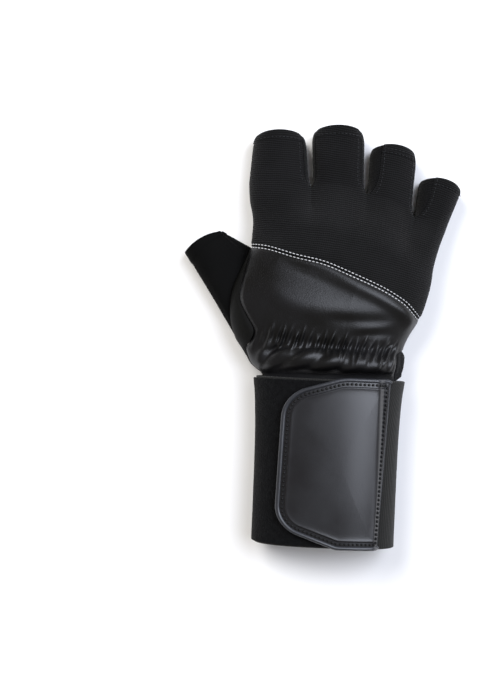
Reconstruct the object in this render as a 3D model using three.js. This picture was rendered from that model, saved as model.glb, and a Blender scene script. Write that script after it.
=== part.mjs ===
// Half-finger weightlifting glove with a wrist wrap, right hand, lying palm down.
// Millimetres. Fingers point to +Y, the thumb to -X, the back of the hand faces +Z.
// The origin is under the middle of the palm, on the surface that the glove lies on.
import * as THREE from 'three';

// Overall sizes
const handWidth = 105;
const handLength = 138;
const handHeight = 33;
const fingerHeight = 20;
const thumbHeight = 18.5;
const cuffWidth = 82;
const cuffLength = 89.6;
const cuffHeight = 34;
const cuffTurn = THREE.MathUtils.degToRad(-2.4);

// Walls of the materials
const knitWall = 1.5;
const gussetWall = 1.2;
const leatherWall = 1.2;
const thumbWall = 1.3;
const elasticWall = 2.2;
const loopWall = 1.3;
const hookWall = 0.9;
const tabWall = 1.5;

// Clearances between neighbouring pieces
const seamGap = 0.45;
const buttGap = 0.2;
const layerGap = 0.3;
const tabGap = 0.65;
const ballGap = 1.35;
const rimMargin = 0.8;
const stripGap = 1.2;
const bindingGap = 1.4;

// Small features
const fingerGap = 2.6;
const crotchDrop = 3.2;
const crotchSink = 1;
const crotchClearTop = 1.17;
const crotchClearUnder = 1.4;
const tipCrown = 2.4;
const gatherHeight = 1.5;
const gatherReach = 5.7;
const reliefStart = 2;
const reliefEnd = 12;
const bindingHeight = 1.6;
const bindingFade = 4;
const hemTurn = 5;
const stripTurn = 4;
const thumbSwell = 1.5;
const thumbRise = 0.6;
const pipingRadius = 1.15;
const channelDepth = 0.5;
const channelInset = 1.1;
const channelWidth = 2.2;
const panelRise = 0.35;
const loopMargin = 0.5;
const slitGap = 0.8;
const tabHold = 1.8;
const tabStep = 5;
const tabStride = 9;
const leastBend = 0.25;

// Cross-section shape: 2 is an ellipse, larger is boxier. The underside is pressed flat.
const topFullness = 2.4;
const underFullness = 3;
const widestShare = 0.45;
const pressedDepth = 1.6;

// Seam places round a section, in degrees: 0 is +X, 90 is up, 180 is -X
const halfTurn = 180;
const fullTurn = 360;
const outerSeam = 35;
const gussetSeam = 54;
const palmEdge = 3;
const stripStart = 2.6;
const stripLeast = 3;
const coverRight = -30;
const coverRightUpper = 20;
const coverDrawn = 28;
const coverSideLeast = 6;
const bindingEdge = 0.5;
const bindingBeside = 5.5;
const bindingLeast = 2;
const crotchLean = THREE.MathUtils.degToRad(41);
const loopReach = 6;

// Hand sections from the wrist to the finger roots.
// along is a share of handLength, left and right of handWidth, height and floor of handHeight.
const handSections = [
  { along: -0.420, left: -0.400, right: 0.305, height: 0.870, floor: 0.090 },
  { along: -0.334, left: -0.408, right: 0.312, height: 0.880, floor: 0.090 },
  { along: -0.312, left: -0.440, right: 0.320, height: 0.960, floor: 0.010 },
  { along: -0.290, left: -0.470, right: 0.324, height: 1.000, floor: 0.000 },
  { along: -0.262, left: -0.490, right: 0.328, height: 0.985, floor: 0.000 },
  { along: -0.232, left: -0.514, right: 0.335, height: 0.915, floor: 0.000 },
  { along: -0.187, left: -0.550, right: 0.361, height: 0.950, floor: 0.000 },
  { along: -0.108, left: -0.576, right: 0.424, height: 1.010, floor: 0.000 },
  { along: -0.040, left: -0.576, right: 0.456, height: 1.030, floor: 0.000 },
  { along: 0.020, left: -0.558, right: 0.477, height: 1.020, floor: 0.000 },
  { along: 0.088, left: -0.515, right: 0.492, height: 0.990, floor: 0.000 },
  { along: 0.159, left: -0.474, right: 0.519, height: 0.950, floor: 0.000 },
  { along: 0.235, left: -0.458, right: 0.555, height: 0.890, floor: 0.000 },
  { along: 0.291, left: -0.456, right: 0.581, height: 0.840, floor: 0.000 },
  { along: 0.359, left: -0.474, right: 0.608, height: 0.780, floor: 0.000 },
  { along: 0.434, left: -0.475, right: 0.629, height: 0.700, floor: 0.000 },
  { along: 0.520, left: -0.475, right: 0.640, height: 0.640, floor: 0.000 },
];

// Finger roots: the outer side of the index, the three finger gaps, the outer side of the little
// finger. across is a share of handWidth, along of handLength.
const fingerRoots = [
  { across: -0.475, along: 0.434 },
  { across: -0.147, along: 0.432 },
  { across: 0.142, along: 0.404 },
  { across: 0.392, along: 0.311 },
  { across: 0.576, along: 0.268 },
];

// Finger tips: across is a share of handWidth, along of handLength
const fingers = [
  { left: -0.449, leftAlong: 0.622, right: -0.175, rightAlong: 0.618 },
  { left: -0.143, leftAlong: 0.640, right: 0.136, rightAlong: 0.636 },
  { left: 0.167, leftAlong: 0.574, right: 0.412, rightAlong: 0.546 },
  { left: 0.428, leftAlong: 0.446, right: 0.649, rightAlong: 0.402 },
];

// Seams between the knit back and the side gussets, in degrees round each finger
const fingerSeams = [
  { left: halfTurn + outerSeam, right: 37 },
  { left: 152, right: 37 },
  { left: 122, right: 24 },
  { left: 116, right: -outerSeam },
];

// Finger tip shape, as shares: where the corners start to draw in and by how much, where the
// tip starts to crown, and where the hand starts to turn into the fingers
const cornerStart = 0.72;
const cornerShare = 0.11;
const crownStart = 0.5;
const fingerStart = 0.4;

// Seam between the knit back and the leather cover, an arc that falls to the little-finger side
const coverSeam = [
  { across: -0.476, along: 0.176 },
  { across: -0.380, along: 0.163 },
  { across: -0.241, along: 0.129 },
  { across: -0.089, along: 0.099 },
  { across: 0.052, along: 0.053 },
  { across: 0.195, along: 0.003 },
  { across: 0.269, along: -0.028 },
  { across: 0.337, along: -0.063 },
  { across: 0.402, along: -0.113 },
  { across: 0.430, along: -0.126 },
];

// Left edge of the leather cover, as the angle round the section
const coverEdge = [
  { along: -0.400, angle: 172 },
  { along: -0.300, angle: 176 },
  { along: -0.240, angle: 166 },
  { along: -0.207, angle: 146 },
  { along: -0.165, angle: 137 },
  { along: -0.108, angle: 142 },
  { along: -0.040, angle: 152 },
  { along: 0.020, angle: 156 },
  { along: 0.088, angle: 165 },
  { along: 0.170, angle: 177 },
];

// Line of the elastic gathers across the cover
const gatherLine = [
  { across: -0.450, along: -0.192 },
  { across: -0.312, along: -0.199 },
  { across: 0.318, along: -0.248 },
];

// Soft ridges of the leather cover, each from a start to an end, with its half width and height
// as shares of handHeight
const coverFolds = [
  { fromX: -0.09, fromY: -0.245, toX: -0.40, toY: -0.325, width: 0.075, height: 0.055 },
  { fromX: -0.16, fromY: -0.225, toX: -0.44, toY: -0.285, width: 0.060, height: 0.045 },
  { fromX: 0.03, fromY: -0.255, toX: -0.20, toY: -0.330, width: 0.080, height: 0.050 },
  { fromX: 0.12, fromY: -0.262, toX: 0.06, toY: -0.335, width: 0.070, height: 0.045 },
  { fromX: 0.17, fromY: -0.258, toX: 0.20, toY: -0.335, width: 0.055, height: 0.050 },
  { fromX: 0.23, fromY: -0.262, toX: 0.28, toY: -0.335, width: 0.050, height: 0.050 },
  { fromX: 0.10, fromY: -0.122, toX: 0.37, toY: -0.150, width: 0.075, height: 0.050 },
  { fromX: 0.13, fromY: -0.195, toX: 0.34, toY: -0.185, width: 0.060, height: 0.055 },
  { fromX: -0.30, fromY: -0.150, toX: -0.36, toY: -0.195, width: 0.060, height: 0.040 },
];

// Thumb hole on the thumb side of the hand, a loop in angle and length
const thumbHoleAngle = 200;
const thumbHoleSpread = 25;
const thumbHoleEnd = -0.212;

// Thumb tip, as shares of handWidth and handLength, and the way that it points
const thumbTip = { upperX: -0.613, upperY: 0.236, lowerX: -0.814, lowerY: 0.153 };
const thumbHeading = { x: -0.45, y: 0.9 };

// Seams of the palm, each a line from the thumb side to the little-finger side
const palmSeams = {
  fingerLine: [
    { across: -0.147, along: 0.408 },
    { across: -0.085, along: 0.374 },
    { across: 0.000, along: 0.345 },
    { across: 0.142, along: 0.305 },
    { across: 0.392, along: 0.252 },
    { across: 0.560, along: 0.236 },
  ],
  middleLine: [
    { across: -0.480, along: 0.372 },
    { across: -0.157, along: 0.207 },
    { across: 0.084, along: 0.100 },
    { across: 0.325, along: -0.020 },
    { across: 0.440, along: -0.092 },
  ],
  heelLine: [
    { across: -0.480, along: 0.010 },
    { across: -0.126, along: -0.072 },
    { across: 0.079, along: -0.100 },
    { across: 0.430, along: -0.130 },
  ],
};

// Bay in the palm for the ball of the thumb, half an ellipse that ends just short of its tips
const ballEnd = 0.985;
const ballMiddle = -0.068;
const ballHalfLength = 0.218;
const ballDepth = 0.345;

// Shares of the cover's rows that are flat at its seam, and of the binding's roll
const coverFade = 0.12;
const bindingMiddle = 0.7;
const bindingSpread = 0.25;

// How far the hand runs into the wrap
const hemAlong = -0.385;

// Middle of the wrap's upper end, as shares of handWidth and handLength
const wrapTopAcross = -0.049;
const wrapTopAlong = -0.353;

// Sections of the wrap from its upper end: along is a share of cuffLength
const cuffSections = [
  { along: -1.00, width: 0.937, height: 0.985 },
  { along: -0.70, width: 0.937, height: 1.000 },
  { along: -0.35, width: 0.944, height: 0.995 },
  { along: -0.12, width: 0.968, height: 0.985 },
  { along: 0.00, width: 1.000, height: 0.975 },
];

// Closing tab on the wrap: corners with their rounding, measured from the wrap's upper end.
// across is a share of cuffWidth, along and radius of cuffLength.
const tabCorners = [
  { across: 0.383, along: -0.010, radius: 0.010 },
  { across: 0.070, along: -0.010, radius: 0.260 },
  { across: -0.303, along: -0.112, radius: 0.170 },
  { across: -0.322, along: -0.872, radius: 0.160 },
  { across: 0.062, along: -0.990, radius: 0.080 },
  { across: 0.330, along: -0.990, radius: 0.010 },
];
const slitAcross = 0.262;
const hookLeft = -0.250;
const hookRight = 0.180;
const hookTop = -0.160;
const hookBottom = -0.840;

// Looks of the real materials
const knit = new THREE.MeshStandardMaterial({ color: 0x1b1c1e, roughness: 0.9, metalness: 0 });
const smoothLeather = new THREE.MeshStandardMaterial({ color: 0x232427, roughness: 0.45, metalness: 0 });
const mattLeather = new THREE.MeshStandardMaterial({ color: 0x161616, roughness: 0.85, metalness: 0 });
const elastic = new THREE.MeshStandardMaterial({ color: 0x222326, roughness: 0.85, metalness: 0 });
const loopFabric = new THREE.MeshStandardMaterial({ color: 0x121314, roughness: 0.95, metalness: 0 });
const coatedLeather = new THREE.MeshStandardMaterial({ color: 0x36373c, roughness: 0.35, metalness: 0 });

// Plain helpers
const { degToRad, radToDeg, lerp, clamp, smoothstep } = THREE.MathUtils;

// Small steps for normals, and how often and how strongly a rough place is drawn to its true one
const angleStep = 0.5;
const lengthStep = 0.2;
const shareStep = 0.01;
const meetingPasses = 60;
const meetingPull = 0.3;
const seamPasses = 8;

// Value of one column of a table at a place, on a smooth curve through its rows
function readTable(rows, place, key, column) {
  const ordered = rows[0][key] <= rows[rows.length - 1][key] ? rows : [...rows].reverse();
  const last = ordered.length - 1;
  if (place <= ordered[0][key]) {
    return ordered[0][column];
  }
  if (place >= ordered[last][key]) {
    return ordered[last][column];
  }
  let i = 0;
  while (place > ordered[i + 1][key]) {
    i += 1;
  }
  const slopeAt = (k) => {
    const before = ordered[Math.max(k - 1, 0)];
    const after = ordered[Math.min(k + 1, last)];
    return (after[column] - before[column]) / (after[key] - before[key]);
  };
  const step = ordered[i + 1][key] - ordered[i][key];
  const t = (place - ordered[i][key]) / step;
  const a = ordered[i][column];
  const b = ordered[i + 1][column];
  const rise = 3 * t * t - 2 * t * t * t;
  const startBend = (t * t * t - 2 * t * t + t) * step * slopeAt(i);
  const endBend = (t * t * t - t * t) * step * slopeAt(i + 1);
  return a + (b - a) * rise + startBend + endBend;
}

// Height of a section's point, from its angle: a full top and an underside pressed flat
function sectionPoint(angle, floor, height) {
  const c = Math.cos(degToRad(angle));
  const s = Math.sin(degToRad(angle));
  const power = s >= 0 ? 2 / topFullness : 2 / underFullness;
  const widest = floor + (height - floor) * widestShare;
  const side = Math.sign(c) * Math.pow(Math.abs(c), power);
  const swell = Math.pow(Math.abs(s), power);
  const under = Math.max(floor, widest - (widest - floor + pressedDepth) * swell);
  const z = s >= 0 ? widest + (height - widest) * swell : under;
  return { side, z };
}

// Angle on the upper half, or on the lower half, at which a section reaches a sideways share
function angleAt(side, fullness) {
  const c = Math.sign(side) * Math.pow(Math.min(Math.abs(side), 1), fullness / 2);
  return radToDeg(Math.acos(clamp(c, -1, 1)));
}

// Hand section at a length y
function handSection(y) {
  const along = y / handLength;
  const read = (column) => readTable(handSections, along, 'along', column);
  return {
    left: read('left') * handWidth,
    right: read('right') * handWidth,
    height: read('height') * handHeight,
    floor: Math.max(0, read('floor')) * handHeight,
  };
}

// Point of the hand's outer surface
function handPoint(angle, y) {
  const section = handSection(y);
  const { side, z } = sectionPoint(angle, section.floor, section.height);
  const middle = (section.left + section.right) / 2;
  const half = (section.right - section.left) / 2;
  return new THREE.Vector3(middle + half * side, y, z);
}

// Angle of the hand's upper half at a place x
function handTopAngle(x, y) {
  const section = handSection(y);
  const middle = (section.left + section.right) / 2;
  const half = (section.right - section.left) / 2;
  return angleAt((x - middle) / half, topFullness);
}

// Angle of the hand's underside at a place x, from 180 to 360 degrees
function handUnderAngle(x, y) {
  const section = handSection(y);
  const middle = (section.left + section.right) / 2;
  const half = (section.right - section.left) / 2;
  return fullTurn - angleAt((x - middle) / half, underFullness);
}

// Outward normal of a surface of two parameters, by small differences
function normalOf(surface, u, v, stepU, stepV) {
  const du = surface(u + stepU, v).sub(surface(u - stepU, v));
  const dv = surface(u, v + stepV).sub(surface(u, v - stepV));
  return du.cross(dv).normalize().negate();
}
const handNormal = (angle, y) => normalOf(handPoint, angle, y, angleStep, lengthStep);

// A sheet of cloth or leather: outer points by key, and four-cornered cells between them
class Sheet {
  constructor() {
    this.points = new Map();
    this.cells = [];
  }

  // normal is worked out from the cells where it isn't given, base is the point without its folds
  put(key, point, normal = null, base = point) {
    this.points.set(key, { point, normal, base });
  }

  cell(...keys) {
    this.cells.push(keys.filter((key, i) => keys.indexOf(key) === i));
  }

  // Adds every cell of a grid whose keys are given by row and column
  grid(rows, columns, keyOf) {
    for (let r = 0; r < rows; r += 1) {
      for (let c = 0; c < columns; c += 1) {
        this.cell(keyOf(r, c), keyOf(r, c + 1), keyOf(r + 1, c + 1), keyOf(r + 1, c));
      }
    }
  }
}

// Closed solid of a sheet: its outer face, its inner face one wall inside, and its rim
function sheetGeometry(sheet, wall) {
  const keys = [...sheet.points.keys()];
  const index = new Map(keys.map((key, i) => [key, i]));
  const faces = [];
  for (const cell of sheet.cells) {
    const ids = cell.map((key) => index.get(key));
    faces.push([ids[0], ids[1], ids[2]]);
    if (ids.length === 4) {
      faces.push([ids[0], ids[2], ids[3]]);
    }
  }
  const places = keys.map((key) => sheet.points.get(key));
  const sums = places.map(() => new THREE.Vector3());
  for (const [a, b, c] of faces) {
    const ab = places[b].base.clone().sub(places[a].base);
    const ac = places[c].base.clone().sub(places[a].base);
    const across = ab.cross(ac);
    sums[a].add(across);
    sums[b].add(across);
    sums[c].add(across);
  }
  const inner = places.map((place, i) => {
    const normal = place.normal ? place.normal : sums[i].normalize();
    return place.base.clone().addScaledVector(normal, -wall);
  });
  const count = places.length;
  const triangles = [];
  const edges = new Map();
  for (const [a, b, c] of faces) {
    triangles.push(a, b, c);
    triangles.push(count + a, count + c, count + b);
    for (const [from, to] of [[a, b], [b, c], [c, a]]) {
      const back = `${to},${from}`;
      if (edges.has(back)) {
        edges.delete(back);
      } else {
        edges.set(`${from},${to}`, [from, to]);
      }
    }
  }
  for (const [from, to] of edges.values()) {
    triangles.push(to, from, count + from);
    triangles.push(to, count + from, count + to);
  }
  const position = [];
  for (const point of [...places.map((place) => place.point), ...inner]) {
    position.push(point.x, point.y, point.z);
  }
  const geometry = new THREE.BufferGeometry();
  geometry.setAttribute('position', new THREE.Float32BufferAttribute(position, 3));
  geometry.setIndex(triangles);
  geometry.computeVertexNormals();
  return geometry;
}

const glove = new THREE.Group();

function addPiece(parent, name, geometry, material) {
  const mesh = new THREE.Mesh(geometry, material);
  mesh.name = name;
  parent.add(mesh);
}

// Finger surfaces

// Plan of a finger's edge at a share of its length, 0 at the root and 1 at the tip
function fingerEdge(i, share, isRight) {
  const finger = fingers[i];
  const root = fingerRoots[isRight ? i + 1 : i];
  const isOuter = isRight ? i === fingers.length - 1 : i === 0;
  const inset = isOuter ? 0 : (isRight ? -0.5 : 0.5) * fingerGap;
  const tipX = (isRight ? finger.right : finger.left) * handWidth;
  const tipY = (isRight ? finger.rightAlong : finger.leftAlong) * handLength;
  return new THREE.Vector2(
    lerp(root.across * handWidth + inset, tipX, share),
    lerp(root.along * handLength, tipY, share),
  );
}

// Point of a finger's outer surface at an angle round it and a share of its length.
// The tip edge is crowned, and its corners draw in.
function fingerPoint(i, angle, share) {
  const left = fingerEdge(i, share, false);
  const right = fingerEdge(i, share, true);
  const middle = left.clone().add(right).multiplyScalar(0.5);
  const corner = 1 - cornerShare * smoothstep(share, cornerStart, 1);
  const half = right.clone().sub(left).multiplyScalar(0.5 * corner);
  const section = sectionPoint(angle, 0, fingerHeight);
  const crown = tipCrown * smoothstep(share, crownStart, 1) * (1 - section.side * section.side);
  const toTip = new THREE.Vector2(-half.y, half.x).normalize();
  return new THREE.Vector3(
    middle.x + half.x * section.side + toTip.x * crown,
    middle.y + half.y * section.side + toTip.y * crown,
    section.z,
  );
}
const fingerNormal = (i, angle, share) => {
  const surface = (a, s) => fingerPoint(i, a, s);
  const safe = clamp(share, shareStep, 1 - shareStep);
  return normalOf(surface, angle, safe, angleStep, shareStep);
};

// Bottom of a finger gap, on the back where rise is 1 and on the palm where it is 0
function gapBottom(gap, rise) {
  const root = fingerRoots[gap];
  const before = fingerPoint(gap - 1, fingerSeams[gap - 1].right, 0);
  const after = fingerPoint(gap, fingerSeams[gap].left, 0);
  const top = (before.z + after.z) / 2 - crotchSink;
  return new THREE.Vector3(
    root.across * handWidth,
    root.along * handLength - crotchDrop,
    lerp(0, top, rise),
  );
}
const down = new THREE.Vector3(0, 0, -1);
const gapNormalTop = new THREE.Vector3(0, Math.cos(crotchLean), Math.sin(crotchLean));
const gapNormalUnder = new THREE.Vector3(0, Math.cos(crotchLean), -Math.sin(crotchLean));
const gapSlopeTop = new THREE.Vector3(0, Math.sin(crotchLean), -Math.cos(crotchLean));
const gapSlopeUnder = new THREE.Vector3(0, Math.sin(crotchLean), Math.cos(crotchLean));

// Length at which the seam of the leather cover crosses an angle of the hand
function coverSeamY(angle) {
  let y = 0;
  for (let pass = 0; pass < seamPasses; pass += 1) {
    const upper = clamp(angle, 0, halfTurn);
    const across = handPoint(upper, y).x / handWidth;
    y = readTable(coverSeam, across, 'across', 'along') * handLength;
  }
  return y;
}

// Knit back: one panel from the cover's seam to the finger tips, slit at the finger gaps
const outerCells = 7;
const innerCells = 4;
const stripCells = [outerCells, innerCells, innerCells, outerCells];
const firstCells = [0, outerCells, outerCells + innerCells, outerCells + 2 * innerCells];
const bodyShares = [0, 0.2, 0.4, 0.56, 0.7, 0.85, 1];
const tipShares = [0.22, 0.45, 0.68, 0.86, 1];

function backPanelSheet() {
  const sheet = new Sheet();
  const borders = [halfTurn + outerSeam];
  for (let gap = 1; gap < fingers.length; gap += 1) {
    const root = fingerRoots[gap];
    borders.push(handTopAngle(root.across * handWidth, root.along * handLength));
  }
  borders.push(-outerSeam);
  const keyOf = (row, strip, column) => {
    const shared = row < bodyShares.length;
    return shared ? `${row}:${firstCells[strip] + column}` : `${row}:${strip}:${column}`;
  };
  fingerSeams.forEach((seams, strip) => {
    const cells = stripCells[strip];
    for (let column = 0; column <= cells; column += 1) {
      const t = column / cells;
      const handAngle = lerp(borders[strip], borders[strip + 1], t);
      const fingerAngle = lerp(seams.left, seams.right, t);
      const isGapLeft = column === 0 && strip > 0;
      const isGapRight = column === cells && strip < fingers.length - 1;
      let root = fingerPoint(strip, fingerAngle, 0);
      if (isGapLeft || isGapRight) {
        root = gapBottom(isGapLeft ? strip : strip + 1, 1);
      }
      const seamY = coverSeamY(handAngle) + seamGap;
      const fromHand = root.clone().sub(handPoint(handAngle, root.y));
      const isSide = (strip === 0 && column < 2) || (strip === 3 && column > cells - 2);
      bodyShares.forEach((share, row) => {
        const y = lerp(seamY, root.y, share);
        const weight = smoothstep(share, fingerStart, 1);
        const point = handPoint(handAngle, y).addScaledVector(fromHand, weight);
        let normal = null;
        if (isSide) {
          normal = handNormal(handAngle, y).lerp(fingerNormal(strip, fingerAngle, 0), weight);
          normal.normalize();
        }
        if (share === 1 && (isGapLeft || isGapRight)) {
          normal = gapNormalTop;
        }
        sheet.put(keyOf(row, strip, column), point, normal);
      });
      tipShares.forEach((share, k) => {
        const point = fingerPoint(strip, fingerAngle, share);
        const normal = fingerNormal(strip, fingerAngle, share);
        sheet.put(keyOf(bodyShares.length + k, strip, column), point, normal);
      });
    }
    const rows = bodyShares.length + tipShares.length - 1;
    sheet.grid(rows, cells, (row, column) => keyOf(row, strip, column));
  });
  return sheet;
}

// Side gusset of a finger gap: down the side of one finger, round the gap, up the next finger
const gussetLevels = 4;

function gussetSheet(gap) {
  const sheet = new Sheet();
  const shares = [...tipShares].reverse();
  const turn = shares.length;
  const gapAngle = radToDeg(seamGap / (fingerHeight / 2));
  const topBefore = fingerSeams[gap - 1].right - gapAngle;
  const topAfter = fingerSeams[gap].left + gapAngle;
  for (let level = 0; level <= gussetLevels; level += 1) {
    const t = level / gussetLevels;
    const angleBefore = lerp(topBefore, -gussetSeam + gapAngle, t);
    const angleAfter = lerp(topAfter, halfTurn + gussetSeam - gapAngle, t);
    shares.forEach((share, k) => {
      const far = 2 * turn - k;
      const isLowest = level === gussetLevels;
      const nBefore = isLowest ? down : fingerNormal(gap - 1, angleBefore, share);
      const nAfter = isLowest ? down : fingerNormal(gap, angleAfter, share);
      sheet.put(`${level}:${k}`, fingerPoint(gap - 1, angleBefore, share), nBefore);
      sheet.put(`${level}:${far}`, fingerPoint(gap, angleAfter, share), nAfter);
    });
    const bottom = gapBottom(gap, 1 - t);
    let normal = null;
    if (level === 0) {
      bottom.addScaledVector(gapSlopeTop, crotchClearTop);
      normal = gapNormalTop;
    }
    if (level === gussetLevels) {
      bottom.addScaledVector(gapSlopeUnder, crotchClearUnder);
      normal = gapNormalUnder;
    }
    sheet.put(`${level}:${turn}`, bottom, normal);
  }
  sheet.grid(gussetLevels, 2 * turn, (level, k) => `${level}:${k}`);
  return sheet;
}

// Palm surfaces

const thumbHoleTop = coverSeam[0].along * handLength - 2 * seamGap;
const thumbHoleMiddle = (thumbHoleTop + thumbHoleEnd * handLength) / 2;
const thumbHoleHalf = (thumbHoleTop - thumbHoleEnd * handLength) / 2;

// Half the spread of the thumb hole at a length, as an angle
function holeSpread(y) {
  const t = (y - thumbHoleMiddle) / thumbHoleHalf;
  return thumbHoleSpread * Math.sqrt(Math.max(0, 1 - t * t));
}

// Left edge of the underside: the side seam, which passes below the thumb hole
function underEdgeLeft(y) {
  const seam = halfTurn + outerSeam + palmEdge;
  return Math.max(seam, thumbHoleAngle + holeSpread(y) + rimMargin);
}

// Place x of the underside's left edge, of its right one, and of the bay for the thumb's ball
function underLeft(y) {
  return handPoint(underEdgeLeft(y), y).x;
}
function underRight(y) {
  return handPoint(fullTurn - outerSeam - palmEdge, y).x;
}
function ballEdge(y, inset) {
  const t = (y - ballMiddle * handLength) / (ballHalfLength * handLength - inset);
  return underLeft(y) + (ballDepth * handWidth - inset) * Math.sqrt(Math.max(0, 1 - t * t));
}

// Point and normal of the underside at a place x and a length y
function underPoint(x, y) {
  return handPoint(handUnderAngle(x, y), y);
}
function underNormal(x, y) {
  const angle = clamp(handUnderAngle(x, y), halfTurn + palmEdge, fullTurn - palmEdge);
  return handNormal(angle, y);
}
const seamY = (line, x) => readTable(line, x / handWidth, 'across', 'along') * handLength;

// Length at which a line meets an edge that is given as a place x for each length
function meeting(line, edge) {
  let y = 0;
  for (let pass = 0; pass < meetingPasses; pass += 1) {
    y = lerp(y, line(edge(y)), meetingPull);
  }
  return y;
}

// Path in plan through points, read at a share of its length
function pathThrough(points) {
  const runs = [0];
  for (let i = 1; i < points.length; i += 1) {
    runs.push(runs[i - 1] + points[i].distanceTo(points[i - 1]));
  }
  return (share) => {
    const at = share * runs[runs.length - 1];
    let i = 1;
    while (i < points.length - 1 && runs[i] < at) {
      i += 1;
    }
    const t = (at - runs[i - 1]) / (runs[i] - runs[i - 1]);
    return points[i - 1].clone().lerp(points[i], t);
  };
}

// Points along a line of the palm between two places, and along an edge between two lengths
const pathSteps = 24;
function alongLine(line, fromX, toX) {
  return Array.from({ length: pathSteps + 1 }, (none, k) => {
    const x = lerp(fromX, toX, k / pathSteps);
    return new THREE.Vector2(x, line(x));
  });
}
function alongEdge(edge, fromY, toY) {
  return Array.from({ length: pathSteps + 1 }, (none, k) => {
    const y = lerp(fromY, toY, k / pathSteps);
    return new THREE.Vector2(edge(y), y);
  });
}

// Palm panel inside four paths: low and high run to +X, left and right run to +Y. A point is the
// sum of the mixes between opposite paths, less the mix of the four corners.
function patchPlan(low, high, left, right, u, v) {
  const along = low(u).lerp(high(u), v);
  const across = left(v).lerp(right(v), u);
  const corners = low(0).lerp(low(1), u).lerp(high(0).lerp(high(1), u), v);
  return along.add(across).sub(corners);
}

function addPatch(sheet, paths, rowShares, columns, firstColumn) {
  const [low, high, left, right] = paths.map((points) => pathThrough(points));
  rowShares.forEach((share, r) => {
    for (let c = 0; c <= columns; c += 1) {
      const plan = patchPlan(low, high, left, right, c / columns, share);
      const key = `${r}:${firstColumn + c}`;
      if (!sheet.points.has(key)) {
        sheet.put(key, underPoint(plan.x, plan.y), underNormal(plan.x, plan.y));
      }
    }
  });
  sheet.grid(rowShares.length - 1, columns, (r, c) => `${r}:${firstColumn + columns - c}`);
}

function patchSheet(paths, rows, columns) {
  const sheet = new Sheet();
  const rowShares = Array.from({ length: rows + 1 }, (none, r) => r / rows);
  addPatch(sheet, paths, rowShares, columns, 0);
  return sheet;
}

// Seams of the palm as lengths at a place x, and where they meet the sides and the bay
const fingerLine = (x) => seamY(palmSeams.fingerLine, x);
const middleLine = (x) => seamY(palmSeams.middleLine, x);
const heelLine = (x) => seamY(palmSeams.heelLine, x);
const hemY = hemAlong * handLength;
const bayJoint = meeting(heelLine, (y) => ballEdge(y, 0));
const bayTop = (ballMiddle + ballHalfLength) * handLength;
const bayBottom = (ballMiddle - ballHalfLength) * handLength;
const middleLeft = meeting(middleLine, underLeft);
const middleRight = meeting(middleLine, underRight);
const heelRight = meeting(heelLine, underRight);
const fingerRight = meeting(fingerLine, underRight);

// Edge of the bay between two lengths, evenly round its ellipse
function alongBay(fromY, toY) {
  const turnOf = (y) => Math.asin(clamp((y / handLength - ballMiddle) / ballHalfLength, -1, 1));
  return Array.from({ length: pathSteps + 1 }, (none, k) => {
    const turn = lerp(turnOf(fromY), turnOf(toY), k / pathSteps);
    const y = (ballMiddle + ballHalfLength * Math.sin(turn)) * handLength;
    return new THREE.Vector2(ballEdge(y, 0), y);
  });
}

// Leather tongues under some of the fingers, each from a line of the palm to the finger's tip
const tongueCells = 4;
const tongueRows = [0, 0.4, 0.75, 1];
const underShare = 0.3;

// The panel of three tongues ends in a sharp corner at the gap beside the index finger.
function addTongues(sheet, strips, line, rowShares) {
  const isCorner = (strip, column) => strip === 1 && column === 0;
  const keyOf = (row, strip, column) => {
    if (row >= rowShares.length) {
      return `${row}:${strip}:${column}`;
    }
    return isCorner(strip, column) ? 'corner' : `${row}:${strip * tongueCells + column}`;
  };
  for (const strip of strips) {
    const isFirst = strip === 0;
    const isLast = strip === fingers.length - 1;
    const from = halfTurn + (isFirst ? outerSeam + palmEdge : gussetSeam);
    const to = fullTurn - (isLast ? outerSeam + palmEdge : gussetSeam);
    for (let column = 0; column <= tongueCells; column += 1) {
      const angle = lerp(from, to, column / tongueCells);
      const isGapLeft = column === 0 && !isFirst;
      const isGapRight = column === tongueCells && !isLast;
      let root = fingerPoint(strip, angle, 0);
      let rootNormal = fingerNormal(strip, angle, 0);
      if (isGapLeft || isGapRight) {
        root = gapBottom(isGapLeft ? strip : strip + 1, 0);
        rootNormal = down;
      }
      if (isCorner(strip, column)) {
        root.x += seamGap;
      }
      const low = line(root.x) + seamGap;
      let lowX = root.x;
      if (isFirst && column === 0) {
        lowX = underLeft(low);
      }
      if (isLast && column === tongueCells) {
        lowX = underRight(low);
      }
      const start = underPoint(lowX, low);
      const startNormal = underNormal(lowX, low);
      rowShares.forEach((share, row) => {
        const point = start.clone().lerp(root, share);
        const normal = startNormal.clone().lerp(rootNormal, share === 1 ? 1 : share * underShare);
        sheet.put(keyOf(row, strip, column), point, normal.normalize());
      });
      tipShares.forEach((share, k) => {
        const place = fingerPoint(strip, angle, share);
        const normal = fingerNormal(strip, angle, share);
        sheet.put(keyOf(rowShares.length + k, strip, column), place, normal);
      });
    }
    const rows = rowShares.length + tipShares.length - 1;
    sheet.grid(rows, tongueCells, (row, column) => keyOf(row, strip, tongueCells - column));
  }
}

function fingerPalmSheet() {
  const sheet = new Sheet();
  addTongues(sheet, [1, 2, 3], fingerLine, tongueRows);
  return sheet;
}

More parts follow.
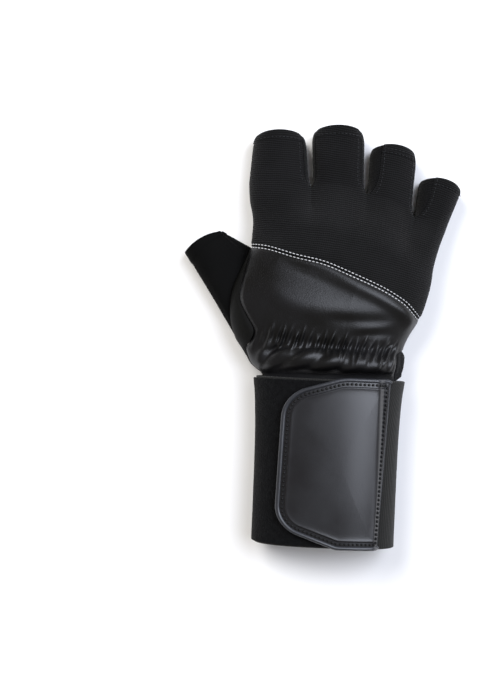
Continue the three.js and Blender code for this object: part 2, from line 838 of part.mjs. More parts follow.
// Leather under the index finger and across the knuckles, one panel
function palmPadSheet() {
  const sheet = new Sheet();
  const rowShares = [0, 0.25, 0.5, 0.75, 1];
  const columns = 10;
  const lowLine = (x) => middleLine(x) + seamGap;
  const gap = gapBottom(1, 0);
  addTongues(sheet, [0], middleLine, rowShares);
  const paths = [
    alongLine(lowLine, gap.x, underRight(middleRight)),
    alongLine((x) => Math.min(fingerLine(x) - buttGap, gap.y), gap.x, underRight(fingerRight)),
    [new THREE.Vector2(gap.x, lowLine(gap.x)), new THREE.Vector2(gap.x, gap.y)],
    alongEdge(underRight, middleRight + seamGap, fingerRight - buttGap),
  ];
  addPatch(sheet, paths, rowShares, columns, tongueCells);
  return sheet;
}

// Leather across the palm, round the upper part of the bay
function palmBandSheet() {
  const lowLine = (x) => heelLine(x) + seamGap;
  const lowPath = alongLine(lowLine, ballEdge(bayJoint, 0), underRight(heelRight));
  return patchSheet([
    [...alongBay(bayTop, bayJoint + seamGap), ...lowPath],
    alongLine(middleLine, underLeft(middleLeft), underRight(middleRight)),
    alongEdge(underLeft, bayTop, middleLeft),
    alongEdge(underRight, heelRight + seamGap, middleRight),
  ], 6, 16);
}

// Heel of the palm, round the lower part of the bay and down into the wrap
function heelSheet() {
  return patchSheet([
    alongLine(() => hemY, underLeft(hemY), underRight(hemY)),
    alongLine(heelLine, ballEdge(bayJoint, 0), underRight(heelRight)),
    [...alongEdge(underLeft, hemY, bayBottom), ...alongBay(bayBottom, bayJoint)],
    alongEdge(underRight, hemY, heelRight),
  ], 10, 8);
}

// Leather over the ball of the thumb, in the bay of the palm
function ballSheet() {
  const sheet = new Sheet();
  const rows = 14;
  const columns = 4;
  for (let r = 0; r <= rows; r += 1) {
    const t = lerp(-ballEnd, ballEnd, r / rows);
    const reach = ballHalfLength * handLength - ballGap;
    const y = ballMiddle * handLength + reach * Math.sin((t * Math.PI) / 2);
    for (let c = 0; c <= columns; c += 1) {
      const x = lerp(underLeft(y), ballEdge(y, ballGap), c / columns);
      sheet.put(`${r}:${c}`, underPoint(x, y), underNormal(x, y));
    }
  }
  sheet.grid(rows, columns, (r, c) => `${r}:${columns - c}`);
  return sheet;
}

// Thumb

// Ring of the thumb stall at a share of its length, 0 at the hand and 1 at the tip
function thumbPoint(turn, share) {
  const c = Math.cos(degToRad(turn));
  const s = Math.sin(degToRad(turn));
  const y = thumbHoleMiddle + (thumbHoleHalf - seamGap) * c;
  const spread = (thumbHoleSpread - rimMargin) * s;
  const root = handPoint(thumbHoleAngle - spread, y);
  const section = sectionPoint(turn, thumbRise, thumbHeight);
  const t = (1 - section.side) / 2;
  const tip = new THREE.Vector3(
    lerp(thumbTip.upperX, thumbTip.lowerX, t) * handWidth,
    lerp(thumbTip.upperY, thumbTip.lowerY, t) * handLength,
    section.z,
  );
  const crown = tipCrown * smoothstep(share, crownStart, 1) * (1 - section.side * section.side);
  const point = root.lerp(tip, share);
  const swell = thumbSwell * Math.sin(Math.PI * share) * s;
  point.z = Math.max(lerp(0, thumbRise, share), point.z + swell);
  point.x += crown * thumbHeading.x;
  point.y += crown * thumbHeading.y;
  return point;
}

function thumbSheet() {
  const sheet = new Sheet();
  const rings = 6;
  const sides = 24;
  for (let r = 0; r <= rings; r += 1) {
    for (let k = 0; k < sides; k += 1) {
      sheet.put(`${r}:${k}`, thumbPoint((fullTurn * k) / sides, r / rings));
    }
  }
  sheet.grid(rings, sides, (r, k) => `${r}:${(sides - k) % sides}`);
  return sheet;
}

// Leather strip between the thumb stall and the cover, running on down to the wrap
function thumbStripSheet() {
  const sheet = new Sheet();
  const rows = 22;
  const columns = 3;
  const end = thumbHoleTop - stripGap;
  const holeLow = thumbHoleMiddle - thumbHoleHalf;
  for (let r = 0; r <= rows; r += 1) {
    const y = lerp(hemY, end, r / rows);
    const upper = readTable(coverEdge, y / handLength, 'along', 'angle') + stripStart;
    const rim = thumbHoleAngle - holeSpread(y) - rimMargin;
    const lower = lerp(halfTurn + outerSeam, rim, smoothstep(y, holeLow - stripTurn, holeLow - seamGap));
    for (let c = 0; c <= columns; c += 1) {
      const angle = lerp(upper, Math.max(lower, upper + stripLeast), c / columns);
      sheet.put(`${r}:${c}`, handPoint(angle, y), handNormal(angle, y));
    }
  }
  sheet.grid(rows, columns, (r, c) => `${r}:${columns - c}`);
  return sheet;
}

// Leather cover

// Height of the cover's gathers at a share of its width: one crest on every second column
const gatherCount = 23;
function gatherRelief(across, x, y) {
  const off = (y - seamY(gatherLine, x)) / gatherReach;
  const wave = (1 + Math.cos(2 * Math.PI * gatherCount * across)) / 2;
  return gatherHeight * Math.exp(-off * off) * wave;
}

// Height of the cover's folds: bell-shaped ridges along straight runs, lower towards their ends
const foldStart = 0.12;
function foldRelief(x, y) {
  let relief = 0;
  for (const fold of coverFolds) {
    const from = new THREE.Vector2(fold.fromX * handWidth, fold.fromY * handLength);
    const to = new THREE.Vector2(fold.toX * handWidth, fold.toY * handLength);
    const run = to.clone().sub(from);
    const place = new THREE.Vector2(x, y).sub(from);
    const t = clamp(place.dot(run) / run.lengthSq(), 0, 1);
    const off = place.addScaledVector(run, -t).length() / (fold.width * handHeight);
    const swell = Math.sin(Math.PI * lerp(foldStart, 1 - foldStart, t));
    relief += fold.height * handHeight * Math.exp(-off * off) * swell;
  }
  return relief;
}

// Lowest angle of the cover on the little-finger side, drawn back beside the side binding
const bindingTop = -0.222;
const bindingBlend = 0.012;
function coverRightAngle(y) {
  const above = y / handLength - bindingTop;
  return lerp(coverDrawn, coverRight, smoothstep(above, -bindingBlend, bindingBlend));
}

// One point of the cover's grid: its angle and its length, drawn together in a few passes
const topCells = 2 * gatherCount;
const sideCells = 3;
const coverKnee = 0.46;
function coverPlace(share, column) {
  let y = 0;
  let angle = halfTurn / 2;
  for (let pass = 0; pass < seamPasses; pass += 1) {
    const edge = readTable(coverEdge, y / handLength, 'along', 'angle');
    const lowest = coverRightAngle(y);
    const upper = Math.max(coverRightUpper, lowest + coverSideLeast);
    const x = lerp(handPoint(edge, y).x, handPoint(upper, y).x, column / topCells);
    const side = lerp(upper, lowest, (column - topCells) / sideCells);
    angle = column <= topCells ? handTopAngle(x, y) : side;
    const line = seamY(gatherLine, handPoint(angle, y).x);
    const low = lerp(hemY, line, share / coverKnee);
    const high = lerp(line, coverSeamY(angle), (share - coverKnee) / (1 - coverKnee));
    y = share < coverKnee ? low : high;
  }
  return { angle, y };
}

function coverSheet() {
  const sheet = new Sheet();
  const rowShares = [0, 0.09, 0.17, 0.24, 0.31, 0.38, 0.44, 0.49, 0.54, 0.6, 0.68, 0.78, 0.89, 1];
  rowShares.forEach((share, r) => {
    for (let c = 0; c <= topCells + sideCells; c += 1) {
      const { angle, y } = coverPlace(share, c);
      const base = handPoint(angle, y);
      const normal = handNormal(angle, y);
      const hemFade = smoothstep(y, hemY + reliefStart, hemY + reliefEnd);
      const fade = smoothstep(1 - share, 0, coverFade) * hemFade;
      const gather = gatherRelief(c / topCells, base.x, y);
      const relief = c > topCells ? 0 : (gather + foldRelief(base.x, y)) * fade;
      sheet.put(`${r}:${c}`, base.clone().addScaledVector(normal, relief), normal, base);
    }
  });
  sheet.grid(rowShares.length - 1, topCells + sideCells, (r, c) => `${r}:${c}`);
  return sheet;
}

// Knit side piece beside the gathers, rolled over towards the leather
function sideBindingSheet() {
  const sheet = new Sheet();
  const rows = 9;
  const columns = 6;
  const lower = -outerSeam - bindingEdge;
  for (let r = 0; r <= rows; r += 1) {
    const y = lerp(hemY, bindingTop * handLength - bindingGap, r / rows);
    const upper = Math.max(coverRightAngle(y) - bindingBeside, lower + bindingLeast);
    for (let c = 0; c <= columns; c += 1) {
      const angle = lerp(lower, upper, c / columns);
      const base = handPoint(angle, y);
      const normal = handNormal(angle, y);
      const off = (c / columns - bindingMiddle) / bindingSpread;
      const fade = smoothstep(y, hemY + hemTurn, hemY + hemTurn + bindingFade);
      const roll = bindingHeight * Math.exp(-off * off) * fade;
      sheet.put(`${r}:${c}`, base.clone().addScaledVector(normal, roll), normal, base);
    }
  }
  sheet.grid(rows, columns, (r, c) => `${r}:${columns - c}`);
  return sheet;
}

addPiece(glove, 'back_panel', sheetGeometry(backPanelSheet(), knitWall), knit);
for (let gap = 1; gap < fingers.length; gap += 1) {
  addPiece(glove, `side_gusset_${gap}`, sheetGeometry(gussetSheet(gap), gussetWall), knit);
}
addPiece(glove, 'finger_palm', sheetGeometry(fingerPalmSheet(), leatherWall), smoothLeather);
addPiece(glove, 'palm_pad', sheetGeometry(palmPadSheet(), leatherWall), smoothLeather);
addPiece(glove, 'palm_band', sheetGeometry(palmBandSheet(), leatherWall), smoothLeather);
addPiece(glove, 'heel_panel', sheetGeometry(heelSheet(), leatherWall), mattLeather);
addPiece(glove, 'thumb_ball', sheetGeometry(ballSheet(), leatherWall), smoothLeather);
addPiece(glove, 'thumb_stall', sheetGeometry(thumbSheet(), thumbWall), mattLeather);
addPiece(glove, 'thumb_strip', sheetGeometry(thumbStripSheet(), leatherWall), smoothLeather);
addPiece(glove, 'back_cover', sheetGeometry(coverSheet(), leatherWall), smoothLeather);
addPiece(glove, 'side_binding', sheetGeometry(sideBindingSheet(), knitWall), knit);

// Wrist wrap, in its own frame: x across, y down from its upper end as a negative length

// Point of the wrap's outer surface, lifted outwards by an offset
function wrapBase(angle, y) {
  const along = y / cuffLength;
  const half = 0.5 * cuffWidth * readTable(cuffSections, along, 'along', 'width');
  const height = cuffHeight * readTable(cuffSections, along, 'along', 'height');
  const { side, z } = sectionPoint(angle, 0, height);
  return new THREE.Vector3(half * side, y, z);
}
const wrapNormal = (angle, y) => normalOf(wrapBase, angle, y, angleStep, lengthStep);
function wrapPoint(angle, y, lift) {
  return wrapBase(angle, y).addScaledVector(wrapNormal(angle, y), lift);
}

// Angle of the wrap's upper half at a place x
function wrapAngle(x, y) {
  const half = 0.5 * cuffWidth * readTable(cuffSections, y / cuffLength, 'along', 'width');
  return angleAt(x / half, topFullness);
}

const wrap = new THREE.Group();
wrap.position.set(wrapTopAcross * handWidth, wrapTopAlong * handLength, 0);
wrap.rotation.z = cuffTurn;
glove.add(wrap);

// Woven elastic: an open loop whose ends meet under the tab
const slitAngle = wrapAngle(slitAcross * cuffWidth, -cuffLength / 2);
const slitHalf = radToDeg(slitGap / cuffWidth);

function bandPieceSheet() {
  const sheet = new Sheet();
  const rows = 6;
  const columns = 40;
  for (let r = 0; r <= rows; r += 1) {
    const y = (-cuffLength * r) / rows;
    for (let c = 0; c <= columns; c += 1) {
      const angle = lerp(slitAngle + slitHalf, slitAngle + fullTurn - slitHalf, c / columns);
      sheet.put(`${r}:${c}`, wrapBase(angle, y), wrapNormal(angle, y));
    }
  }
  sheet.grid(rows, columns, (r, c) => `${r}:${c}`);
  return sheet;
}
addPiece(wrap, 'cuff_band', sheetGeometry(bandPieceSheet(), elasticWall), elastic);

// Rectangle of fabric laid on the wrap, between two angles and two lengths
function laidSheet(angles, lengths, lift, rows, columns) {
  const sheet = new Sheet();
  for (let r = 0; r <= rows; r += 1) {
    const y = lerp(lengths[0], lengths[1], r / rows);
    for (let c = 0; c <= columns; c += 1) {
      const angle = lerp(angles[0], angles[1], c / columns);
      sheet.put(`${r}:${c}`, wrapPoint(angle, y, lift), wrapNormal(angle, y));
    }
  }
  sheet.grid(rows, columns, (r, c) => `${r}:${c}`);
  return sheet;
}
const loopLift = layerGap + loopWall;
const hookLift = loopLift + layerGap + hookWall;
const tabLift = hookLift + tabGap + tabWall;
const loopAngles = [slitAngle + slitHalf, halfTurn + loopReach];
const loopLengths = [-loopMargin, -cuffLength + loopMargin];
const loopSheet = laidSheet(loopAngles, loopLengths, loopLift, 8, 16);
addPiece(wrap, 'loop_panel', sheetGeometry(loopSheet, loopWall), loopFabric);
const hookAngles = [hookRight, hookLeft].map((across) => wrapAngle(across * cuffWidth, -cuffLength / 2));
const hookLengths = [hookTop * cuffLength, hookBottom * cuffLength];
const hookSheet = laidSheet(hookAngles, hookLengths, hookLift, 6, 6);
addPiece(wrap, 'hook_patch', sheetGeometry(hookSheet, hookWall), elastic);

// Tab's outline drawn in by an inset, counter-clockwise, through its rounded corners
function roundedOutline(inset, arcSteps) {
  const places = tabCorners.map(({ across, along }) => {
    return new THREE.Vector2(across * cuffWidth, along * cuffLength);
  });
  const points = [];
  places.forEach((place, i) => {
    const toBefore = places.at(i - 1).clone().sub(place).normalize();
    const toAfter = places[(i + 1) % places.length].clone().sub(place).normalize();
    const half = 0.5 * Math.acos(clamp(toBefore.dot(toAfter), -1, 1));
    const bend = Math.max(tabCorners[i].radius * cuffLength - inset, leastBend);
    const reach = bend + inset;
    const inward = toBefore.clone().add(toAfter).normalize();
    const centre = place.clone().addScaledVector(inward, reach / Math.sin(half));
    const start = toBefore.multiplyScalar(reach / Math.tan(half)).add(place).sub(centre);
    start.normalize().multiplyScalar(bend);
    const sweep = Math.PI - 2 * half;
    for (let k = 0; k <= arcSteps[i]; k += 1) {
      const spoke = start.clone().rotateAround(new THREE.Vector2(), (sweep * k) / arcSteps[i]);
      points.push(centre.clone().add(spoke));
    }
  });
  return points;
}

// Height of the tab's face at a place x: over the loop and hook, then down to the band
function tabRise(x) {
  const slitX = slitAcross * cuffWidth;
  const stepX = slitX + tabHold;
  return lerp(tabLift, layerGap + tabWall, smoothstep(x, stepX, stepX + tabStep));
}

// Adds points along the long straight stretches, so that every ring has the same number
function fillOutline(points, longest, guide) {
  const filled = [];
  points.forEach((point, i) => {
    const next = points[(i + 1) % points.length];
    const span = guide[i].distanceTo(guide[(i + 1) % points.length]);
    const parts = Math.max(1, Math.round(span / longest));
    for (let k = 0; k < parts; k += 1) {
      filled.push(point.clone().lerp(next, k / parts));
    }
  });
  return filled;
}

const tabArcSteps = [1, 5, 6, 6, 3, 1];
const tabGuide = roundedOutline(0, tabArcSteps);

function tabOutline(inset) {
  return fillOutline(roundedOutline(inset, tabArcSteps), tabStride, tabGuide);
}

// Closing tab: flat rim, a stitched channel, and a raised panel inside it
function tabSheet() {
  const sheet = new Sheet();
  const rings = [
    { inset: 0, relief: 0 },
    { inset: channelInset, relief: 0.15 },
    { inset: channelInset + channelWidth * 0.3, relief: -channelDepth },
    { inset: channelInset + channelWidth, relief: -channelDepth },
    { inset: channelInset + channelWidth * 1.35, relief: panelRise },
  ];
  const put = (key, place, relief) => {
    const angle = wrapAngle(place.x, place.y);
    const normal = wrapNormal(angle, place.y);
    const base = wrapPoint(angle, place.y, tabRise(place.x));
    sheet.put(key, base.clone().addScaledVector(normal, relief), normal, base);
  };
  let count = 0;
  rings.forEach((ring, r) => {
    const outline = tabOutline(ring.inset);
    count = outline.length;
    outline.forEach((place, k) => put(`${r}:${k}`, place, ring.relief));
  });
  const lastRing = tabOutline(rings[rings.length - 1].inset);
  const centre = lastRing.reduce((sum, place) => sum.add(place), new THREE.Vector2()).divideScalar(count);
  const shares = [0.88, 0.6, 0.3];
  shares.forEach((share, k) => {
    lastRing.forEach((place, i) => {
      put(`${rings.length + k}:${i}`, centre.clone().lerp(place, share), panelRise);
    });
  });
  put('centre', centre, panelRise);
  const total = rings.length + shares.length;
  sheet.grid(total - 1, count, (r, k) => `${r}:${k % count}`);
  for (let k = 0; k < count; k += 1) {
    sheet.cell(`${total - 1}:${k}`, `${total - 1}:${(k + 1) % count}`, 'centre');
  }
  return sheet;
}
addPiece(wrap, 'closing_tab', sheetGeometry(tabSheet(), tabWall), coatedLeather);

// Rounded binding round the tab's edge, a closed ring of tube
function pipingGeometry() {
  const route = tabOutline(-(pipingRadius + layerGap));
  const sides = 6;
  const position = [];
  const triangles = [];
  route.forEach((place, i) => {
    const before = route[(i + route.length - 1) % route.length];
    const after = route[(i + 1) % route.length];
    const run = after.clone().sub(before).normalize();
    const outward = new THREE.Vector2(run.y, -run.x);
    for (let k = 0; k < sides; k += 1) {
      const turn = (2 * Math.PI * k) / sides;
      const spot = place.clone().addScaledVector(outward, pipingRadius * Math.cos(turn));
      const angle = wrapAngle(place.x, place.y);
      const lift = tabRise(place.x) - tabWall + pipingRadius;
      const centre = wrapPoint(angle, place.y, lift);
      const normal = wrapNormal(angle, place.y);
      const side = wrapPoint(wrapAngle(spot.x, spot.y), spot.y, lift).sub(centre);
      centre.add(side).addScaledVector(normal, pipingRadius * Math.sin(turn));
      position.push(centre.x, centre.y, centre.z);
      const a = i * sides + k;
      const b = i * sides + ((k + 1) % sides);
      const c = ((i + 1) % route.length) * sides + ((k + 1) % sides);
      const d = ((i + 1) % route.length) * sides + k;
      triangles.push(a, d, c, a, c, b);
    }
  });
  const geometry = new THREE.BufferGeometry();
  geometry.setAttribute('position', new THREE.Float32BufferAttribute(position, 3));
  geometry.setIndex(triangles);
  geometry.computeVertexNormals();
  return geometry;
}
addPiece(wrap, 'tab_piping', pipingGeometry(), coatedLeather);

export default glove;
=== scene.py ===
import math
from functools import partial

import bmesh
import bpy
import numpy as np
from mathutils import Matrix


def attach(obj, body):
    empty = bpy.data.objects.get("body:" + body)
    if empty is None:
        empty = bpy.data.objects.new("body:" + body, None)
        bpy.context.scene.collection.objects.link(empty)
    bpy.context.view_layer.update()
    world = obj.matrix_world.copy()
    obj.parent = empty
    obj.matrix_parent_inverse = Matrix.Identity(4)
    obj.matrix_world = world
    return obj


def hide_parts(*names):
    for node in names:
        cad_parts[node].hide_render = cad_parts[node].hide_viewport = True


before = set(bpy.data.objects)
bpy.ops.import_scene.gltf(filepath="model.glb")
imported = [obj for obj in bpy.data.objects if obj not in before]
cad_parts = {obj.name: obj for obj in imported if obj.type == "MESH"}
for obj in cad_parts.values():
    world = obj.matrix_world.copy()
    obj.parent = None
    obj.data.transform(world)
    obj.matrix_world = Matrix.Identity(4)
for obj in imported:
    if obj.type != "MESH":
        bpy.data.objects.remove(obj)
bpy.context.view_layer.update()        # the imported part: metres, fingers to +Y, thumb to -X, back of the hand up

# Camera: a straight look down from above, as the photo is taken, far enough that the wrap's end
# bulges only a little. The photo's pixels are 0.55 mm wide at the height of the glove's sides.
photo_size = (483, 690)
pixel = 0.00055
palm_pixel = (340, 290)
side_height = 0.017
camera_distance = 0.7
sensor = 36.0
camera_data = bpy.data.cameras.new("camera")
camera_data.sensor_fit = "VERTICAL"
camera_data.sensor_height = sensor
camera_data.lens = sensor * camera_distance / (photo_size[1] * pixel)
camera = bpy.data.objects.new("camera", camera_data)
bpy.context.collection.objects.link(camera)
camera.location = (
    (photo_size[0] / 2 - palm_pixel[0]) * pixel,
    (palm_pixel[1] - photo_size[1] / 2) * pixel,
    side_height + camera_distance,
)
bpy.context.scene.camera = camera


# Studio: a plain white floor under two large soft boxes. The one at the upper left throws the soft
# shadow to the lower right, the one at the right gives smooth surfaces their broad highlights.
def linear(code):
    """sRGB hex code as linear red, green, blue and alpha."""
    srgb = np.array([int(code[i:i + 2], 16) for i in (1, 3, 5)]) / 255
    rgb = np.where(srgb <= 0.04045, srgb / 12.92, ((srgb + 0.055) / 1.055) ** 2.4)
    return (*rgb, 1.0)


def node(tree, kind, inputs=None, **settings):
    """Adds a node: settings are its properties, inputs its socket values or the sockets to link."""
    made = tree.nodes.new(kind)
    for name, value in settings.items():
        setattr(made, name, value)
    for name, value in (inputs or {}).items():
        if isinstance(value, bpy.types.NodeSocket):
            tree.links.new(value, made.inputs[name])
        else:
            made.inputs[name].default_value = value
    return made


def blank_material(name):
    """New material, its node tree and its surface shader."""
    material = bpy.data.materials.new(name)
    material.use_nodes = True
    tree = material.node_tree
    return material, tree, tree.nodes["Principled BSDF"]


floor_size = 3.0
floor_mesh = bpy.data.meshes.new("floor")
half = floor_size / 2
floor_mesh.from_pydata(
    [(-half, -half, 0), (half, -half, 0), (half, half, 0), (-half, half, 0)], [], [(0, 1, 2, 3)]
)
floor = bpy.data.objects.new("floor", floor_mesh)
bpy.context.collection.objects.link(floor)

# Matt white emulsion paint: an even, dull surface with next to no shine
floor_paint, _, floor_shader = blank_material("matt_white_paint")
floor_shader.inputs["Base Color"].default_value = linear("#f4f4f4")
floor_shader.inputs["Roughness"].default_value = 0.9
floor_shader.inputs["Specular IOR Level"].default_value = 0.1
floor_mesh.materials.append(floor_paint)

world = bpy.data.worlds.new("studio")
world.use_nodes = True
world.node_tree.nodes["Background"].inputs["Color"].default_value = linear("#fff5e9")
world.node_tree.nodes["Background"].inputs["Strength"].default_value = 0.20
bpy.context.scene.world = world
bpy.context.scene.view_settings.view_transform = "Standard"

# name, place, size, watts, colour, whether it shows in glossy surfaces
soft_boxes = (
    ("shadow_box", (-0.80, 0.75, 1.20), 0.9, 24.0, "#fffdfa", False),
    ("gloss_box", (0.68, 0.34, 1.17), 1.15, 24.0, "#ebf1ff", True),
)
glove_middle = np.array([0.0, -0.03, 0.0])
for name, place, size, watts, colour, shows in soft_boxes:
    light_data = bpy.data.lights.new(name, "AREA")
    light_data.shape = "SQUARE"
    light_data.size = size
    light_data.energy = watts
    light_data.color = linear(colour)[:3]
    light = bpy.data.objects.new(name, light_data)
    light.location = place
    light.visible_glossy = shows
    aim = glove_middle - place
    flat = math.hypot(aim[0], aim[1])
    light.rotation_euler = (math.atan2(flat, -aim[2]), 0, math.atan2(-aim[0], aim[1]))
    bpy.context.collection.objects.link(light)

# Knit back: one panel of ribbed stretch knit from the leather cover's seam to the finger tips,
# slit at the finger gaps, and turned in and hemmed at the tips. The ribs run across the hand.
hand_width = 105.0
hand_length = 138.0
hand_height = 33.0
finger_height = 20.0
knit_wall = 1.5
seam_gap = 0.35
finger_gap = 2.6
gap_drop = 3.2
top_fullness = 2.4
under_fullness = 3.0
widest_share = 0.45
pressed_depth = 1.6
outer_seam = 35.0
gusset_seam = 54.0

# along as a share of hand_length; left and right of hand_width; height and floor of hand_height
hand_sections = np.array([
    (-0.420, -0.400, 0.305, 0.870, 0.090),
    (-0.334, -0.408, 0.312, 0.880, 0.090),
    (-0.312, -0.440, 0.320, 0.960, 0.010),
    (-0.290, -0.470, 0.324, 1.000, 0.000),
    (-0.262, -0.490, 0.328, 0.985, 0.000),
    (-0.232, -0.514, 0.335, 0.915, 0.000),
    (-0.187, -0.550, 0.361, 0.950, 0.000),
    (-0.108, -0.576, 0.424, 1.010, 0.000),
    (-0.040, -0.576, 0.456, 1.030, 0.000),
    (0.020, -0.558, 0.477, 1.020, 0.000),
    (0.088, -0.515, 0.492, 0.990, 0.000),
    (0.159, -0.474, 0.519, 0.950, 0.000),
    (0.235, -0.458, 0.555, 0.890, 0.000),
    (0.291, -0.456, 0.581, 0.840, 0.000),
    (0.359, -0.474, 0.608, 0.780, 0.000),
    (0.434, -0.475, 0.629, 0.700, 0.000),
    (0.520, -0.475, 0.640, 0.640, 0.000),
])

# Finger roots, as shares of hand_width and hand_length: outer side of the index, the three gaps, outer
# side of the little finger
finger_roots = np.array([
    (-0.475, 0.434), (-0.147, 0.432), (0.142, 0.404), (0.392, 0.311), (0.576, 0.268),
])

# Finger tips, in the same shares: left across, left along, right across, right along
finger_tips = np.array([
    (-0.449, 0.622, -0.175, 0.618), (-0.143, 0.640, 0.136, 0.636),
    (0.167, 0.574, 0.412, 0.546), (0.428, 0.446, 0.649, 0.402),
])
# Where round each finger the knit's left and right seams run, and over which share of its length
# each comes down to the gap's bottom
seam_angles = np.array([(180 + outer_seam, 37), (152, 37), (122, 28), (114, -outer_seam)])
seam_drops = np.array([(0.16, 0.20), (0.20, 0.20), (0.55, 0.20), (0.60, 0.16)])
tip_crown = 2.4
tip_corner = 0.16
corner_share = 0.26

# Seam between the knit and the leather cover, from the index finger's side to the other
cover_seam = np.array([
    (-0.476, 0.176), (-0.380, 0.163), (-0.241, 0.129), (-0.089, 0.099), (0.052, 0.053),
    (0.195, 0.003), (0.269, -0.028), (0.337, -0.063), (0.402, -0.113), (0.430, -0.126),
])


def curve(at, rows, column):
    """Value of a table's column at a place: cubic through the rows, each row's slope being the
    straight one from the row before it to the row after it."""
    places, values = rows[:, 0], rows[:, column]
    before = np.maximum(np.arange(len(places)) - 1, 0)
    after = np.minimum(np.arange(len(places)) + 1, len(places) - 1)
    slopes = (values[after] - values[before]) / (places[after] - places[before])
    at = np.clip(at, places[0], places[-1])
    i = np.clip(np.searchsorted(places, at, side="right") - 1, 0, len(places) - 2)
    step = places[i + 1] - places[i]
    t = (at - places[i]) / step
    rise = 3 * t**2 - 2 * t**3
    bend = (t**3 - 2 * t**2 + t) * slopes[i] + (t**3 - t**2) * slopes[i + 1]
    return values[i] + (values[i + 1] - values[i]) * rise + bend * step


def ease(x, low, high):
    """Smooth step from 0 at low to 1 at high."""
    t = np.clip((x - low) / (high - low), 0, 1)
    return t * t * (3 - 2 * t)


def mix(a, b, t):
    """Straight mix from a to b."""
    return a + (b - a) * t


def section(angle, floor, height):
    """Sideways share and height at an angle of a cross-section: a superellipse with a full top,
    and an underside that is cut off flat at the floor."""
    c, s = np.cos(np.radians(angle)), np.sin(np.radians(angle))
    power = np.where(s >= 0, 2 / top_fullness, 2 / under_fullness)
    widest = floor + (height - floor) * widest_share
    swell = np.abs(s) ** power
    under = np.maximum(floor, widest - (widest - floor + pressed_depth) * swell)
    z = np.where(s >= 0, widest + (height - widest) * swell, under)
    return np.sign(c) * np.abs(c) ** power, z


def hand_sides(y):
    """Left edge, right edge, height and floor of the hand at a length y, in millimetres."""
    along = y / hand_length
    left, right = curve(along, hand_sections, 1), curve(along, hand_sections, 2)
    height, low = curve(along, hand_sections, 3), curve(along, hand_sections, 4)
    return left * hand_width, right * hand_width, height * hand_height, np.maximum(low, 0) * hand_height


def hand(angle, y):
    """Point of the hand's outer surface at an angle round it and a length y."""
    angle, y = np.broadcast_arrays(np.asarray(angle, float), np.asarray(y, float))
    left, right, height, low = hand_sides(y)
    side, z = section(angle, low, height)
    return np.stack([(left + right) / 2 + (right - left) / 2 * side, y, z], axis=-1)


def angle_of(side, fullness):
    """Angle of the upper half at which a section reaches a sideways share."""
    side = np.clip(side, -1, 1)
    return np.degrees(np.arccos(np.sign(side) * np.abs(side) ** (fullness / 2)))


def hand_top_angle(x, y):
    """Angle of the hand's back at a place x and a length y."""
    left, right, _, _ = hand_sides(y)
    return angle_of((x - (left + right) / 2) / ((right - left) / 2), top_fullness)


def finger(i, angle, share):
    """Point of a finger's outer surface: its plan runs straight from root to tip, the tip edge is
    crowned and its corners draw in along a quarter ellipse."""
    angle, share = np.broadcast_arrays(np.asarray(angle, float), np.asarray(share, float))
    scale = np.array([hand_width, hand_length])
    inset_left = 0 if i == 0 else finger_gap / 2
    inset_right = 0 if i == 3 else finger_gap / 2
    root_left = finger_roots[i] * scale + (inset_left, 0)
    root_right = finger_roots[i + 1] * scale - (inset_right, 0)
    left = mix(root_left, finger_tips[i, :2] * scale, share[..., None])
    right = mix(root_right, finger_tips[i, 2:] * scale, share[..., None])
    into_corner = np.clip((share - 1 + corner_share) / corner_share, 0, 1)
    corner = 1 - tip_corner * (1 - np.sqrt(1 - into_corner**2))
    half_way = (right - left) / 2 * corner[..., None]
    side, z = section(angle, 0.0, finger_height)
    to_tip = np.stack([-half_way[..., 1], half_way[..., 0]], axis=-1)
    to_tip /= np.linalg.norm(to_tip, axis=-1, keepdims=True)
    crown = tip_crown * ease(share, 0.5, 1) * (1 - side * side)
    plan = (left + right) / 2 + half_way * side[..., None] + to_tip * crown[..., None]
    return np.concatenate([plan, z[..., None]], axis=-1)


def gap_bottom(gap, rise):
    """Bottom of a finger gap: on the back where rise is 1, on the palm where it is 0."""
    left_top = finger(gap - 1, seam_angles[gap - 1, 1], 0.0)[2]
    right_top = finger(gap, seam_angles[gap, 0], 0.0)[2]
    x, y = finger_roots[gap] * (hand_width, hand_length)
    return np.array([x, y - gap_drop, ((left_top + right_top) / 2 - 1) * rise])


def cover_seam_y(angle):
    """Length at which the leather cover's seam crosses an angle of the hand."""
    upper = np.clip(angle, 0, 180)
    y = np.zeros_like(upper)
    for _ in range(8):
        y = curve(hand(upper, y)[..., 0] / hand_width, cover_seam, 1) * hand_length
    return y


def grid_normals(points):
    """Unit normals of a grid whose columns run to +X and whose rows run to +Y."""
    across = np.gradient(points, axis=1)
    along = np.gradient(points, axis=0)
    normal = np.cross(across, along)
    return normal / np.maximum(np.linalg.norm(normal, axis=-1, keepdims=True), 1e-9)


def new_piece(name, points, *face_tables):
    """Object in metres with smooth faces, from points in millimetres and tables of their faces."""
    mesh = bpy.data.meshes.new(name)
    mesh.from_pydata((points * 0.001).tolist(), [], sum((table.tolist() for table in face_tables), []))
    mesh.polygons.foreach_set("use_smooth", np.ones(len(mesh.polygons), bool))
    piece = bpy.data.objects.new(name, mesh)
    bpy.context.collection.objects.link(piece)
    return piece


def grid_faces(rows, columns, ring=False, closed=False):
    """Four-cornered faces of a grid of points. A ring closes on itself along its columns, and a closed
    one along its rows too."""
    row = np.arange(rows if closed else rows - 1)[:, None]
    column = np.arange(columns if ring else columns - 1)[None, :]
    above, beside = (row + 1) % rows * columns, (column + 1) % columns
    corners = [row * columns + column, row * columns + beside, above + beside, above + column]
    return np.stack(corners, axis=-1).reshape(-1, 4)


